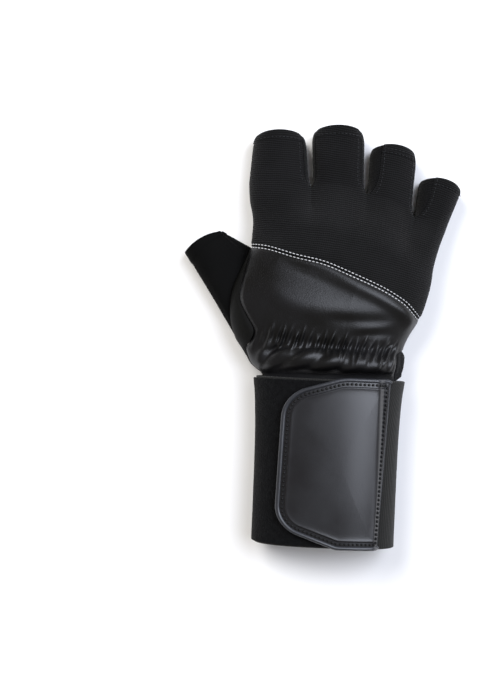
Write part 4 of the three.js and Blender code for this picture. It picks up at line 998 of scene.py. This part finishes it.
def fold_relief(x, y):
    """Height of the cover's folds. Each is a ridge or crease with a bell-shaped section along a
    curve through its three points, fading at its ends."""
    relief = np.zeros_like(x)
    bends = np.linspace(0, 1, fold_steps + 1)[:, None]
    for *places, width, height in cover_folds:
        start, middle, end = np.reshape(places, (3, 2)) * (hand_width, hand_length)
        control = 2 * middle - (start + end) / 2
        route = mix(mix(start, control, bends), mix(control, end, bends), bends)
        nearest, along = np.full_like(x, 1e9), np.zeros_like(x)
        for k, (here, step) in enumerate(zip(route, np.diff(route, axis=0))):
            t = np.clip(((x - here[0]) * step[0] + (y - here[1]) * step[1]) / (step @ step), 0, 1)
            away = np.hypot(x - here[0] - t * step[0], y - here[1] - t * step[1])
            along = np.where(away < nearest, (k + t) / fold_steps, along)
            nearest = np.minimum(nearest, away)
        relief += height * np.exp(-(nearest / width) ** 2) * np.sin(math.pi * mix(0.03, 0.97, along))
    return relief


def waves(run, table):
    """Sum of a table's waves along a run."""
    return sum(height * np.sin(run * pace + start) for height, pace, start in table)


def gather_relief(x, y):
    """Height of the gathers: the elastic draws in a trench, and the leather stands up across it in
    leaning puckers with round crests, longer below and to the right, each a little different. Below the
    trench it puffs out again."""
    off = y - gather_y(x)
    run = x - mix(*gather_leans, ease(x, -20, 40)) * off
    phase = 2 * math.pi * run / gather_pitch + waves(run, phase_waves)
    above = reach_up + waves(run, reach_up_waves)
    below = mix(*reaches_down, ease(x, -25, 30)) + waves(run, reach_down_waves)
    reach = np.where(off > 0, above, below)
    crest = ((1 + np.cos(phase + crest_lean * np.sin(phase))) / 2) ** crest_roundness
    uneven = (0.8 + waves(run, height_waves)) * mix(0.35, 1, ease(x, -50, -30))
    pucker = gather_height * uneven * crest * np.exp(-np.abs(off / reach) ** 3)
    trench = trench_depth * np.exp(-(off / np.where(off > 0, *trench_reach)) ** 2)
    puff = puff_height * np.exp(-((off + puff_drop) / puff_reach) ** 2) * ease(x, -40, -25)
    return pucker - trench + puff


def right_edge(y):
    """Angle of the cover's right edge at a length y: it rises to clear the binding below."""
    above = ease(y / hand_length, binding_start - binding_blend, binding_start + binding_blend)
    return mix(cover_right_upper + 8, cover_right, above)


def cover_surface():
    """Grid of the cover on the hand, and its seam's length at each point. Its columns are spread
    evenly over the top, and then round the side. Its rows run from the hem to the elastic's line, and
    on to the seam. Lengths and angles depend on each other, so they close in step by step."""
    share = np.linspace(0, 1, cover_rows)[:, None]
    column = np.arange(cover_columns + cover_side_columns)[None, :]
    top_share = np.minimum(column / (cover_columns - 1), 1)
    side_share = np.maximum(column - cover_columns + 1, 0) / cover_side_columns
    y = np.zeros((cover_rows, cover_columns + cover_side_columns))
    for _ in range(10):
        lowest = right_edge(y)
        upper = np.maximum(cover_right_upper, lowest + 6)
        left_x = hand(curve(y / hand_length, cover_edge, 1), y)[..., 0]
        top = hand_top_angle(mix(left_x, hand(upper, y)[..., 0], top_share), y)
        angle = np.where(column < cover_columns, top, mix(upper, lowest, side_share))
        seam = cover_seam_y(angle)
        line = gather_y(hand(angle, y)[..., 0])
        high_part = mix(line, seam, (share - knee) / (1 - knee))
        y = np.where(share < knee, mix(hem_y, line, share / knee), high_part)
    return hand(angle, y), seam


cover_base, cover_seam_at = cover_surface()
base_x, base_y = cover_base[..., 0], cover_base[..., 1]
from_seam = cover_seam_at - base_y
from_right = hand_sides(base_y)[1] - base_x
from_left = np.linalg.norm(cover_base - cover_base[:, :1], axis=-1)
past_top = (np.arange(base_x.shape[1]) - cover_columns) / cover_side_columns
fade = ease(from_seam, 0, 5) * ease(base_y, hem_y + 2, hem_y + 12)
fade = fade * ease(from_right, 0.3, 7) * np.clip(1 - past_top, 0, 1)
relief = (fold_relief(base_x, base_y) + gather_relief(base_x, base_y)) * fade
relief -= seam_dip * np.exp(-(from_seam / seam_reach) ** 2)
ridge = (0.3 + 1.1 * ease(base_x, -15, 20)) * ease(from_right, 0.5, 6) * ease(from_seam, 0, 2.5)
relief += ridge * np.exp(-((from_seam - seam_ridge) / seam_ridge_reach) ** 2)
relief -= edge_dip * np.exp(-(from_left / edge_reach) ** 2)
cover_points = cover_base + relief[..., None] * grid_normals(cover_base)
cover = wall(sew("back_cover_leather", with_plan(cover_points)), leather_wall)

# The same kind of leather as the palm, dyed deeper and finished a little glossier
back_leather = leather_material(
    "drummed_back_leather", ("#080808", "#111113"), (0.35, 0.45), grain=0.7, depth=0.09, shine=0.44
)
finish_piece(cover, back_leather, "leather", "back_cover")

# Side binding: the knit that shows beside the gathers. It comes out from under the leather's edge in
# a thick roll with two ridges, and goes into the wrap.
binding_wall = 1.3
binding_tuck = 1.5
binding_height = 2.0
binding_ridges = 0.55
ridge_place, ridge_pitch = 0.62, 0.30
roll_middle = 0.46
roll_start = hem_y + 2.5
roll_end = -31.0
binding_y = np.linspace(hem_along, binding_start + binding_blend, 80)[:, None] * hand_length
binding_lower = -outer_seam - 1.0
binding_upper = np.maximum(right_edge(binding_y) + 5, binding_lower + 4)
across = np.linspace(0, 1, 60)[None, :]
binding_base = hand(mix(binding_lower, binding_upper, across), binding_y)[:, ::-1]
bulge = np.sqrt(np.maximum(0, 1 - (across / roll_middle - 1) ** 2)) ** 0.8
ridges = binding_ridges * np.cos(2 * math.pi * (across - ridge_place) / ridge_pitch) * bulge
open_share = ease(binding_y, roll_start, roll_start + 3.5)
open_share = open_share * (1 - ease(binding_y, roll_end - 6.5, roll_end))
roll = (binding_height * bulge + ridges) * open_share - binding_tuck * (1 - 0.3 * bulge * open_share)
binding_points = binding_base + roll[:, ::-1, None] * grid_normals(binding_base)
binding = wall(sew("side_binding_knit", (binding_points, binding_points[..., 1::-1])), binding_wall)
finish_piece(binding, gusset_knit_painted_shade, "knit", "side_binding")

# Wrist wrap: a wide band of woven elastic that runs round the wrist, over the glove's lower hem. Its
# two ends meet under the tab, and it is turned a little against the hand.
cuff_width = 82.0
cuff_length = 91.0
cuff_height = 34.0
cuff_turn = math.radians(-2.4)
cuff_top = np.array([-0.049 * hand_width, -0.353 * hand_length, 0.0])
elastic_wall = 2.2
slit_across = 0.262
slit_gap = 0.8

# along as a share of cuff_length, width of cuff_width, height of cuff_height
cuff_sections = np.array([
    (-1.00, 0.937, 0.985), (-0.70, 0.937, 1.000), (-0.35, 0.944, 0.995), (-0.12, 0.968, 0.985),
    (0.00, 1.000, 0.975),
])


def wrap_flat(angle, y):
    """Point of the wrap's outer surface in the wrap's own frame, y running down from its top."""
    angle, y = np.broadcast_arrays(np.asarray(angle, float), np.asarray(y, float))
    half_way = cuff_width / 2 * curve(y / cuff_length, cuff_sections, 1)
    side, z = section(angle, 0.0, cuff_height * curve(y / cuff_length, cuff_sections, 2))
    return np.stack([half_way * side, y, z], axis=-1)


def wrap_out(angle, y):
    """Outward normal of the wrap, from small steps in angle and length."""
    du = wrap_flat(angle + 0.5, y) - wrap_flat(angle - 0.5, y)
    dv = wrap_flat(angle, y + 0.2) - wrap_flat(angle, y - 0.2)
    normal = -np.cross(du, dv)
    return normal / np.linalg.norm(normal, axis=-1, keepdims=True)


def placed(points):
    """Turns points of the wrap's own frame into the glove's frame."""
    c, s = math.cos(cuff_turn), math.sin(cuff_turn)
    return points @ np.array([(c, s, 0), (-s, c, 0), (0, 0, 1)]) + cuff_top


def wrap(angle, y, lift=0.0):
    """Point over the wrap's surface, lifted outwards by so many millimetres."""
    lift = np.asarray(lift, float)[..., None]
    return placed(wrap_flat(angle, y) + lift * wrap_out(angle, y))


def wrap_angle(x, y):
    """Angle of the wrap's upper half at a place x of its own frame."""
    half_way = cuff_width / 2 * curve(y / cuff_length, cuff_sections, 1)
    return angle_of(x / half_way, top_fullness)


# Woven ribbed elastic: rubber cores covered in matt black yarn, in ribs 1.3 mm apart that run along
# the wrist, crossed by picks 0.8 mm apart, with a fuzz 0.5 mm fine. The ribs' crowns are painted a
# little lighter, a painted sheen.
def elastic_material():
    fuzz_size, rib_pitch, pick_pitch = 0.455, 1.3, 0.8
    material, tree, shader = blank_material("woven_ribbed_elastic")
    uv = node(tree, "ShaderNodeUVMap", uv_map="cloth").outputs["UV"]
    parts = node(tree, "ShaderNodeSeparateXYZ", {"Vector": uv})
    rows = yarn_rows(tree, parts.outputs["X"], rib_pitch, parts.outputs["Y"], pick_pitch, 0.35)
    fuzz = node(tree, "ShaderNodeTexNoise", {"Vector": uv, "Scale": 1 / fuzz_size, "Detail": 3.0})
    raised = {0: fuzz.outputs["Fac"], 1: 1.2, 2: rows}
    height = node(tree, "ShaderNodeMath", raised, operation="MULTIPLY_ADD")
    # Painted sheen: the ribs' crowns are painted a little lighter, beside the fuzz's random tone
    painted_sheen_tone = {0: rows, 1: 0.08, 2: fuzz.outputs["Fac"]}
    tone = node(tree, "ShaderNodeMath", painted_sheen_tone, operation="MULTIPLY_ADD")
    finish_shader(
        tree, shader, tone.outputs[0], (0.2, 0.9), ("#131312", "#262624"), height.outputs[0], 0.35, 0.3,
        {"Roughness": 0.85, "Specular IOR Level": 0.3, "Sheen Weight": 0.1},
    )
    return material


elastic = elastic_material()
slit_angle = float(wrap_angle(slit_across * cuff_width, -cuff_length / 2))
slit_half = math.degrees(slit_gap / cuff_width)
band_y = -np.linspace(0, cuff_length, 90)[:, None]
band_angle = np.linspace(slit_angle + slit_half, slit_angle + 360 - slit_half, 300)[None, :]
band_points = wrap(band_angle, band_y)
band_run = row_lengths(band_points, np.zeros_like(band_y))
band_uv = np.stack([band_run, np.broadcast_to(band_y, band_run.shape)], axis=-1)
band = wall(sew("cuff_elastic", (band_points, band_uv)), elastic_wall, 0.6)
finish_piece(band, elastic, "elastic", "cuff_band")

# Loop panel: brushed loop fabric, the soft half of the closure. It is a thin sheet, sewn flat on the
# back of the wrap from the slit round to the thumb's side.
loop_wall = 1.3
layer_gap = 0.3
loop_lift = layer_gap + loop_wall
loop_end = 186.0
loop_margin = 0.9


# Brushed nylon loop: a dull black pile of tiny curled loops about 0.8 mm across, in tufts that lie
# this way and that, about 2.6 mm wide.
def loop_material():
    loop_size, tuft_size = 0.77, 2.63
    material, tree, shader = blank_material("brushed_nylon_loop")
    place = node(tree, "ShaderNodeTexCoord").outputs["Object"]
    curls = {"Vector": place, "Scale": 1000 / loop_size}
    curl = node(tree, "ShaderNodeTexVoronoi", curls, feature="SMOOTH_F1")
    tufts = {"Vector": place, "Scale": 1000 / tuft_size, "Detail": 6.0, "Roughness": 0.75}
    tuft = node(tree, "ShaderNodeTexNoise", tufts).outputs["Fac"]
    raised = {0: curl.outputs["Distance"], 1: 0.9, 2: tuft}
    height = node(tree, "ShaderNodeMath", raised, operation="MULTIPLY_ADD")
    finish_shader(
        tree, shader, tuft, (0.38, 0.68), ("#040405", "#0d0e0f"), height.outputs[0], 0.9, 0.6,
        {"Roughness": 0.95, "Specular IOR Level": 0.1, "Sheen Weight": 0.04, "Sheen Roughness": 0.6},
    )
    return material


loop_pile = loop_material()
loop_y = -np.linspace(loop_margin, cuff_length - loop_margin, 90)[:, None]
loop_angle = np.linspace(slit_angle + slit_half, loop_end, 120)[None, :]
loop_points = wrap(loop_angle, loop_y, loop_lift)
loop = wall(sew("loop_pile", with_plan(loop_points)), loop_wall, 0.5)
finish_piece(loop, loop_pile, "loop", "loop_panel")

# Hook patch: the other half of the closure, a stiff tape of moulded hooks sewn under the tab. The
# tab hides it, so it is one plain sheet with the pile's finish.
hook_wall = 0.9
hook_lift = loop_lift + layer_gap + hook_wall
hook_sides = np.array([0.18, -0.25]) * cuff_width
hook_ends = np.array([-0.16, -0.84]) * cuff_length
hook_y = np.linspace(*hook_ends, 30)[:, None]
hook_angle = np.linspace(*wrap_angle(hook_sides, -cuff_length / 2), 30)[None, :]
hook_points = wrap(hook_angle, hook_y, hook_lift)
hook = wall(sew("hook_tape", with_plan(hook_points)), hook_wall, 0.2)
finish_piece(hook, loop_pile, "hook", "hook_patch")

# Closing tab: two layers of coated leather with a bound edge, a stitched channel inside the edge
# and a slightly raised panel. The place of the lettering is left bare.
tab_wall = 1.5
tab_gap = 0.65
tab_hold = 1.8
tab_step = 5.0
tab_lift = hook_lift + tab_gap + tab_wall
tab_puff = 0.5
channel_inset = 0.2
channel_width = 2.3
channel_depth = 0.5
panel_rise = 0.35
least_bend = 0.25
least_relief = 0.45
corner_points = 14
side_step = 1.2

# across as a share of cuff_width; along and the corner's radius of cuff_length
tab_corners = np.array([
    (0.374, -0.010, 0.012), (0.070, -0.010, 0.256), (-0.285, -0.111, 0.167),
    (-0.304, -0.862, 0.158), (0.062, -0.978, 0.079), (0.326, -0.978, 0.012),
])


def tab_outline(inset):
    """Tab's outline drawn in by an inset, counter-clockwise: at each corner an arc, and from it a
    straight run to the next, always with the same number of points."""
    places = tab_corners[:, :2] * (cuff_width, cuff_length)
    ahead = np.roll(places, -1, axis=0) - places
    lengths = np.linalg.norm(ahead, axis=1)
    ahead /= lengths[:, None]
    before = np.roll(ahead, 1, axis=0)
    arcs = []
    for place, to_here, on, share in zip(places, before, ahead, tab_corners[:, 2]):
        turning = math.acos(np.clip(to_here @ on, -1, 1))
        bend = max(share * cuff_length - inset, least_bend)
        inward = (on - to_here) / np.linalg.norm(on - to_here)
        centre = place + inward * (bend + inset) / math.cos(turning / 2)
        start = math.atan2(-to_here[0], to_here[1])
        sweep = start + np.linspace(0, turning, corner_points)
        arcs.append(centre + bend * np.stack([np.cos(sweep), np.sin(sweep)], axis=-1))
    outline = []
    for k, arc in enumerate(arcs):
        following = arcs[(k + 1) % len(arcs)][0]
        between = np.linspace(0, 1, int(lengths[k] / side_step) + 2)[1:-1, None]
        outline += [arc, mix(arc[-1], following, between)]
    return np.concatenate(outline)


def past_slit(x):
    """How far the tab has stepped down from the loop panel to the bare band, from 0 to 1."""
    step = slit_across * cuff_width + tab_hold
    return ease(x, step, step + tab_step)


def tab_face(x):
    """Height of the tab's face over the wrap: over loop and hook, then down on the band."""
    return mix(tab_lift, layer_gap + tab_wall, past_slit(x))


def on_tab(plan, lift):
    """Point over the wrap at a place of its own frame, lifted by so many millimetres."""
    return wrap(wrap_angle(plan[..., 0], plan[..., 1]), plan[..., 1], lift)


def tab_relief(plan, up, clear=0.0):
    """Point of the tab's face with its relief, which flattens where the tab lies on the band alone."""
    x = plan[..., 0]
    return on_tab(plan, tab_face(x) + up * mix(1.0, least_relief, past_slit(x)) + clear)


# Rings of the face from the edge inwards: inset and height, through the channel and up on the panel
channel_end = channel_inset + channel_width
tab_rings = (
    (0.0, -channel_depth - 0.3), (channel_inset, -channel_depth),
    (channel_inset + channel_width / 2, -channel_depth - 0.05),
    (channel_end - 0.15, -channel_depth), (channel_end + 0.15, -0.5),
    (channel_end + 0.35, 0.1), (channel_end + 0.6, panel_rise + 0.1),
    (channel_end + 0.9, panel_rise + 0.15), (channel_end + 1.3, panel_rise + 0.05),
    (channel_end + 2.0, panel_rise - 0.05), (channel_end + 3.0, panel_rise - 0.1),
)
rings = []
for inset, up in tab_rings:
    inner = tab_outline(inset)
    rings.append(tab_relief(inner, up))
tab_round = len(inner)
for shrink in np.linspace(0.95, 0.02, 26):
    plan = mix(inner.mean(axis=0), inner, shrink)
    rings.append(on_tab(plan, tab_face(plan[:, 0]) + up + tab_puff * (1 - shrink**2)))
tab_points = np.vstack(rings + [rings[-1].mean(axis=0)])
last_ring = (len(rings) - 1) * tab_round + np.arange(tab_round)
middle_point = np.full_like(last_ring, len(rings) * tab_round)
tab_fan = np.stack([last_ring, np.roll(last_ring, -1), middle_point], axis=-1)
tab = new_piece("tab_leather", tab_points, grid_faces(len(rings), tab_round, ring=True), tab_fan)
wall(tab, tab_wall, 0.3)

# Coated split leather, embossed and plated: near-black with a grey cast and a soft gloss
tab_leather = leather_material(
    "coated_split_leather", ("#17171a", "#1f2023"), (0.30, 0.38), grain=0.5, depth=0.03, shine=0.6
)
finish_piece(tab, tab_leather, "tab", "closing_tab")

# Tab binding: a narrow strip of the same coated leather turned over the tab's edge, round like
# piping. At the tab's straight right end it is thinner and drawn in.
piping_radius = 1.15
piping_sides = 14
piping_out = 0.75
right_thinning = 0.65
route = tab_outline(-piping_radius * piping_out)
ahead = np.roll(route, -1, axis=0) - np.roll(route, 1, axis=0)
ahead /= np.linalg.norm(ahead, axis=1, keepdims=True)
outward = np.stack([ahead[:, 1], -ahead[:, 0]], axis=-1)
turn = np.linspace(0, 2 * math.pi, piping_sides, endpoint=False)
thinning = right_thinning * piping_radius * ease(outward[:, :1], 0.80, 0.97)
radius = piping_radius - thinning
spread = (radius * np.cos(turn) - thinning)[..., None] * outward[:, None]
piping_middle = tab_face(route[:, :1]) - tab_wall / 2
piping_points = on_tab(route[:, None] + spread, piping_middle + radius * np.sin(turn))
piping_faces = grid_faces(tab_round, piping_sides, ring=True, closed=True)[:, ::-1]
piping = new_piece("tab_binding_leather", piping_points.reshape(-1, 3), piping_faces)

# Binding leather: the same coating, glossier, and painted greyer than the tab: a painted highlight on its round
# edge
piping_painted_highlight_leather = leather_material(
    "coated_binding_painted_highlight_leather", ("#24262a", "#303238"), (0.32, 0.40), grain=0.5, depth=0.02, shine=0.7
)
finish_piece(piping, piping_painted_highlight_leather, "tab", "tab_piping")

# Topstitching: bonded polyester thread, off-white, in two rows beside each leather seam and along the
# hems under the fingers, twelve stitches to the inch. Each stitch lies as a small bar in its seam.
row_offset = 0.9
both_sides = (-row_offset, row_offset)
back_proud = 0.12
knit_proud = 0.10
palm_sink = -0.30
tack_sink = -0.22
tack_reach = 1.7


def row_on(surface, first, second, steps, lift):
    """Line over a surface at two arrays of its parameters, lifted along its outward normals, and
    those normals, which come from small steps of both parameters."""
    first, second = np.broadcast_arrays(np.asarray(first, float), np.asarray(second, float))
    run = surface(first + steps[0], second) - surface(first - steps[0], second)
    across = surface(first, second + steps[1]) - surface(first, second - steps[1])
    normal = -np.cross(run, across)
    normal /= np.linalg.norm(normal, axis=1, keepdims=True)
    return surface(first, second) + normal * lift, normal


def beside(x, y, offset):
    """Plan line moved sideways by an offset, to the left of its direction."""
    ahead = np.stack([np.gradient(x), np.gradient(y)])
    ahead /= np.linalg.norm(ahead, axis=0)
    return x - offset * ahead[1], y + offset * ahead[0]


def stitch_shape(length, radius):
    """One stitch: a short bar with tapered ends, as five rings of six points and two tips, arched a
    little. Its sides are four-cornered faces, its ends triangles."""
    along = np.repeat([-0.5, -0.36, 0.0, 0.36, 0.5], 6)
    swell = np.repeat([0.35, 0.85, 1.0, 0.85, 0.35], 6) * radius
    turn = np.tile(np.linspace(0, 2 * math.pi, 6, endpoint=False), 5)
    arch = 0.3 * radius * (1 - 4 * along**2)
    rings = np.stack([along * length, swell * np.cos(turn), swell * np.sin(turn) + arch], axis=-1)
    tips = np.array([(-0.54 * length, 0, 0), (0.54 * length, 0, 0)])
    near, after = np.arange(6), (np.arange(6) + 1) % 6
    first = np.stack([near, after, np.full(6, 30)], axis=-1)
    last = np.stack([24 + after, 24 + near, np.full(6, 31)], axis=-1)
    return np.vstack([rings, tips]), grid_faces(5, 6, ring=True)[:, ::-1], np.vstack([first, last])


def stitch_rows(name, rows, material, slot, pitch=2.1, length=1.4, radius=0.26):
    """Stitches along several rows. A row is a fine line of points with their outward normals: the
    stitches are laid along it at even distances."""
    shape, sides, ends = stitch_shape(length, radius)
    points = []
    for line, normals in rows:
        run = lengths_along(line)
        count = max(2, int(run[-1] / pitch))
        at = (np.arange(count) + 0.5) * run[-1] / count
        centre, up = at_lengths(line, run, at), at_lengths(normals, run, at)
        ahead = at_lengths(line, run, at + 0.5) - at_lengths(line, run, at - 0.5)
        ahead /= np.linalg.norm(ahead, axis=1, keepdims=True)
        up -= (up * ahead).sum(axis=1, keepdims=True) * ahead
        up /= np.linalg.norm(up, axis=1, keepdims=True)
        axes = np.stack([ahead, np.cross(up, ahead), up], axis=1)
        points.append((centre[:, None] + shape @ axes).reshape(-1, 3))
    points = np.concatenate(points)
    starts = np.arange(0, len(points), len(shape))[:, None, None]
    tables = [(starts + table).reshape(-1, table.shape[1]) for table in (sides, ends)]
    finish_piece(new_piece(name, points, *tables), material, slot)


# Bonded polyester thread: three plies twisted hard and bonded, so that it is dull and its twist
# shows as faint marks about 1 mm long.
def thread_material(name, colours):
    twist_size = 1.11
    material, tree, shader = blank_material(name)
    place = node(tree, "ShaderNodeTexCoord").outputs["Object"]
    twists = {"Vector": place, "Scale": 1000 / twist_size, "Detail": 2.0}
    twist = node(tree, "ShaderNodeTexNoise", twists).outputs["Fac"]
    finish_shader(tree, shader, twist, (0.3, 0.7), colours, twist, 0.4, 0.1, {"Roughness": 0.6})
    return material


white_thread = thread_material("bonded_white_thread", ("#a9abad", "#dfe0e2"))
black_thread = thread_material("bonded_black_thread", ("#0a0a0b", "#202124"))
tab_thread = thread_material("thick_black_thread", ("#040404", "#0e0e0f"))


def back_row(offset):
    """Row on the back beside the cover's seam, at an offset from it."""
    angle = np.linspace(4, 174, 400)
    seam_point = hand(angle, cover_seam_y(angle) + seam_gap / 2)
    x, y = beside(seam_point[:, 0], seam_point[:, 1], offset)
    lift = back_proud - seam_dip * math.exp(-(row_offset / seam_reach) ** 2)
    return row_on(hand, hand_top_angle(x, y), y, (0.5, 0.2), lift)


def palm_row(x, y, offset):
    """Row on the underside at an offset from a line of places and lengths, between its sides."""
    x, y = beside(x, y, offset)
    inside = (x > under_left(y) + 1) & (x < under_right(y) - 1)
    return row_on(under, x[inside], y[inside], (0.2, 0.2), palm_sink)


back_rows = [back_row(offset) for offset in both_sides]
stitch_rows("cover_topstitch", back_rows, white_thread, "leather")

line_end = 0.6 * hand_width
bay_y = bay_joint + (bay_top - bay_joint) * np.sin(np.linspace(0, math.pi / 2 * 0.97, 120))
bay_x = ball_edge(bay_y, ball_inset / 2)
palm_rows = []
for offset in both_sides:
    for name, first_x in (("finger", gap_x + 2.5), ("middle", -0.5 * hand_width), ("heel", -line_end)):
        x = np.linspace(first_x, line_end, 200)
        palm_rows.append(palm_row(x, line_y(name, x) + seam_gap / 2, offset))
    palm_rows.append(palm_row(bay_x, bay_y, offset))
for i, (low, high) in enumerate(tongue_sides):
    across = np.linspace(low + 14, high - 14, 60)
    for share in (tongue_hem - 0.035, tongue_hem + 0.035):
        palm_rows.append(row_on(partial(palm_finger, i), across, share, (0.5, 0.005), palm_sink))
stitch_rows("palm_topstitch", palm_rows, white_thread, "leather")

# Bar tack: a small star of longer white stitches that locks the seams where the crescent of the
# thumb's bay meets the heel line.
tack_point = np.array([bay_joint_x, bay_joint])
tack_rows = []
for turn in np.radians((20, 65, 110, 155)):
    reach = tack_reach * np.array([math.cos(turn), math.sin(turn)])
    ends = np.linspace(tack_point - reach, tack_point + reach, 12)
    tack_rows.append(row_on(under, ends[:, 0], ends[:, 1], (0.2, 0.2), tack_sink))
stitch_rows("bar_tack", tack_rows, white_thread, "leather", pitch=1.7, length=1.9)

# Seams of the knit and of the heel: black thread, nearly unseen, along the sides of the fingers,
# round their hems, and beside the lower half of the thumb's bay.
low_y = np.linspace(bay_bottom + 0.6, bay_joint - 2.0, 120)
low_x = ball_edge(low_y, ball_inset / 2)
dark_rows = [palm_row(low_x, low_y, 1.2 * offset) for offset in both_sides]
for i, angle, first_share in (
    (0, seam_angles[0, 1] + 12, 0.05), (1, seam_angles[1, 1] + 12, 0.05),
    (2, seam_angles[2, 1] + 12, 0.05), (2, seam_angles[2, 0] - 9, 0.03),
    (3, seam_angles[3, 0] - 9, 0.03),
):
    shares = np.linspace(first_share, 0.97, 120)
    dark_rows.append(row_on(partial(back_finger, i), angle, shares, (0.5, 0.005), knit_proud))
for i, share in ((0, 0.86), (1, 0.86), (2, 0.84), (2, 0.90), (3, 0.82)):
    across = np.linspace(min(seam_angles[i, 0], 168), max(seam_angles[i, 1], 8), 120)
    hem_lift = hem_height + knit_proud
    dark_rows.append(row_on(partial(back_finger, i), across, share, (0.5, 0.005), hem_lift))
stitch_rows("knit_stitches", dark_rows, black_thread, "knit", length=1.6, radius=0.22)

# Tab stitching: one row of thick black thread on the floor of the channel, all the way round. It
# holds the tab's two layers and its binding together.
channel_plan = tab_outline(channel_inset + channel_width / 2)
channel_plan = np.vstack([channel_plan, channel_plan[:1]])
channel_low, channel_up = (tab_relief(channel_plan, -channel_depth, clear) for clear in (0.1, 1.1))
channel_row = (channel_low, channel_up - channel_low)
stitch_rows("tab_stitches", [channel_row], tab_thread, "tab", 2.3, 1.5, 0.72)
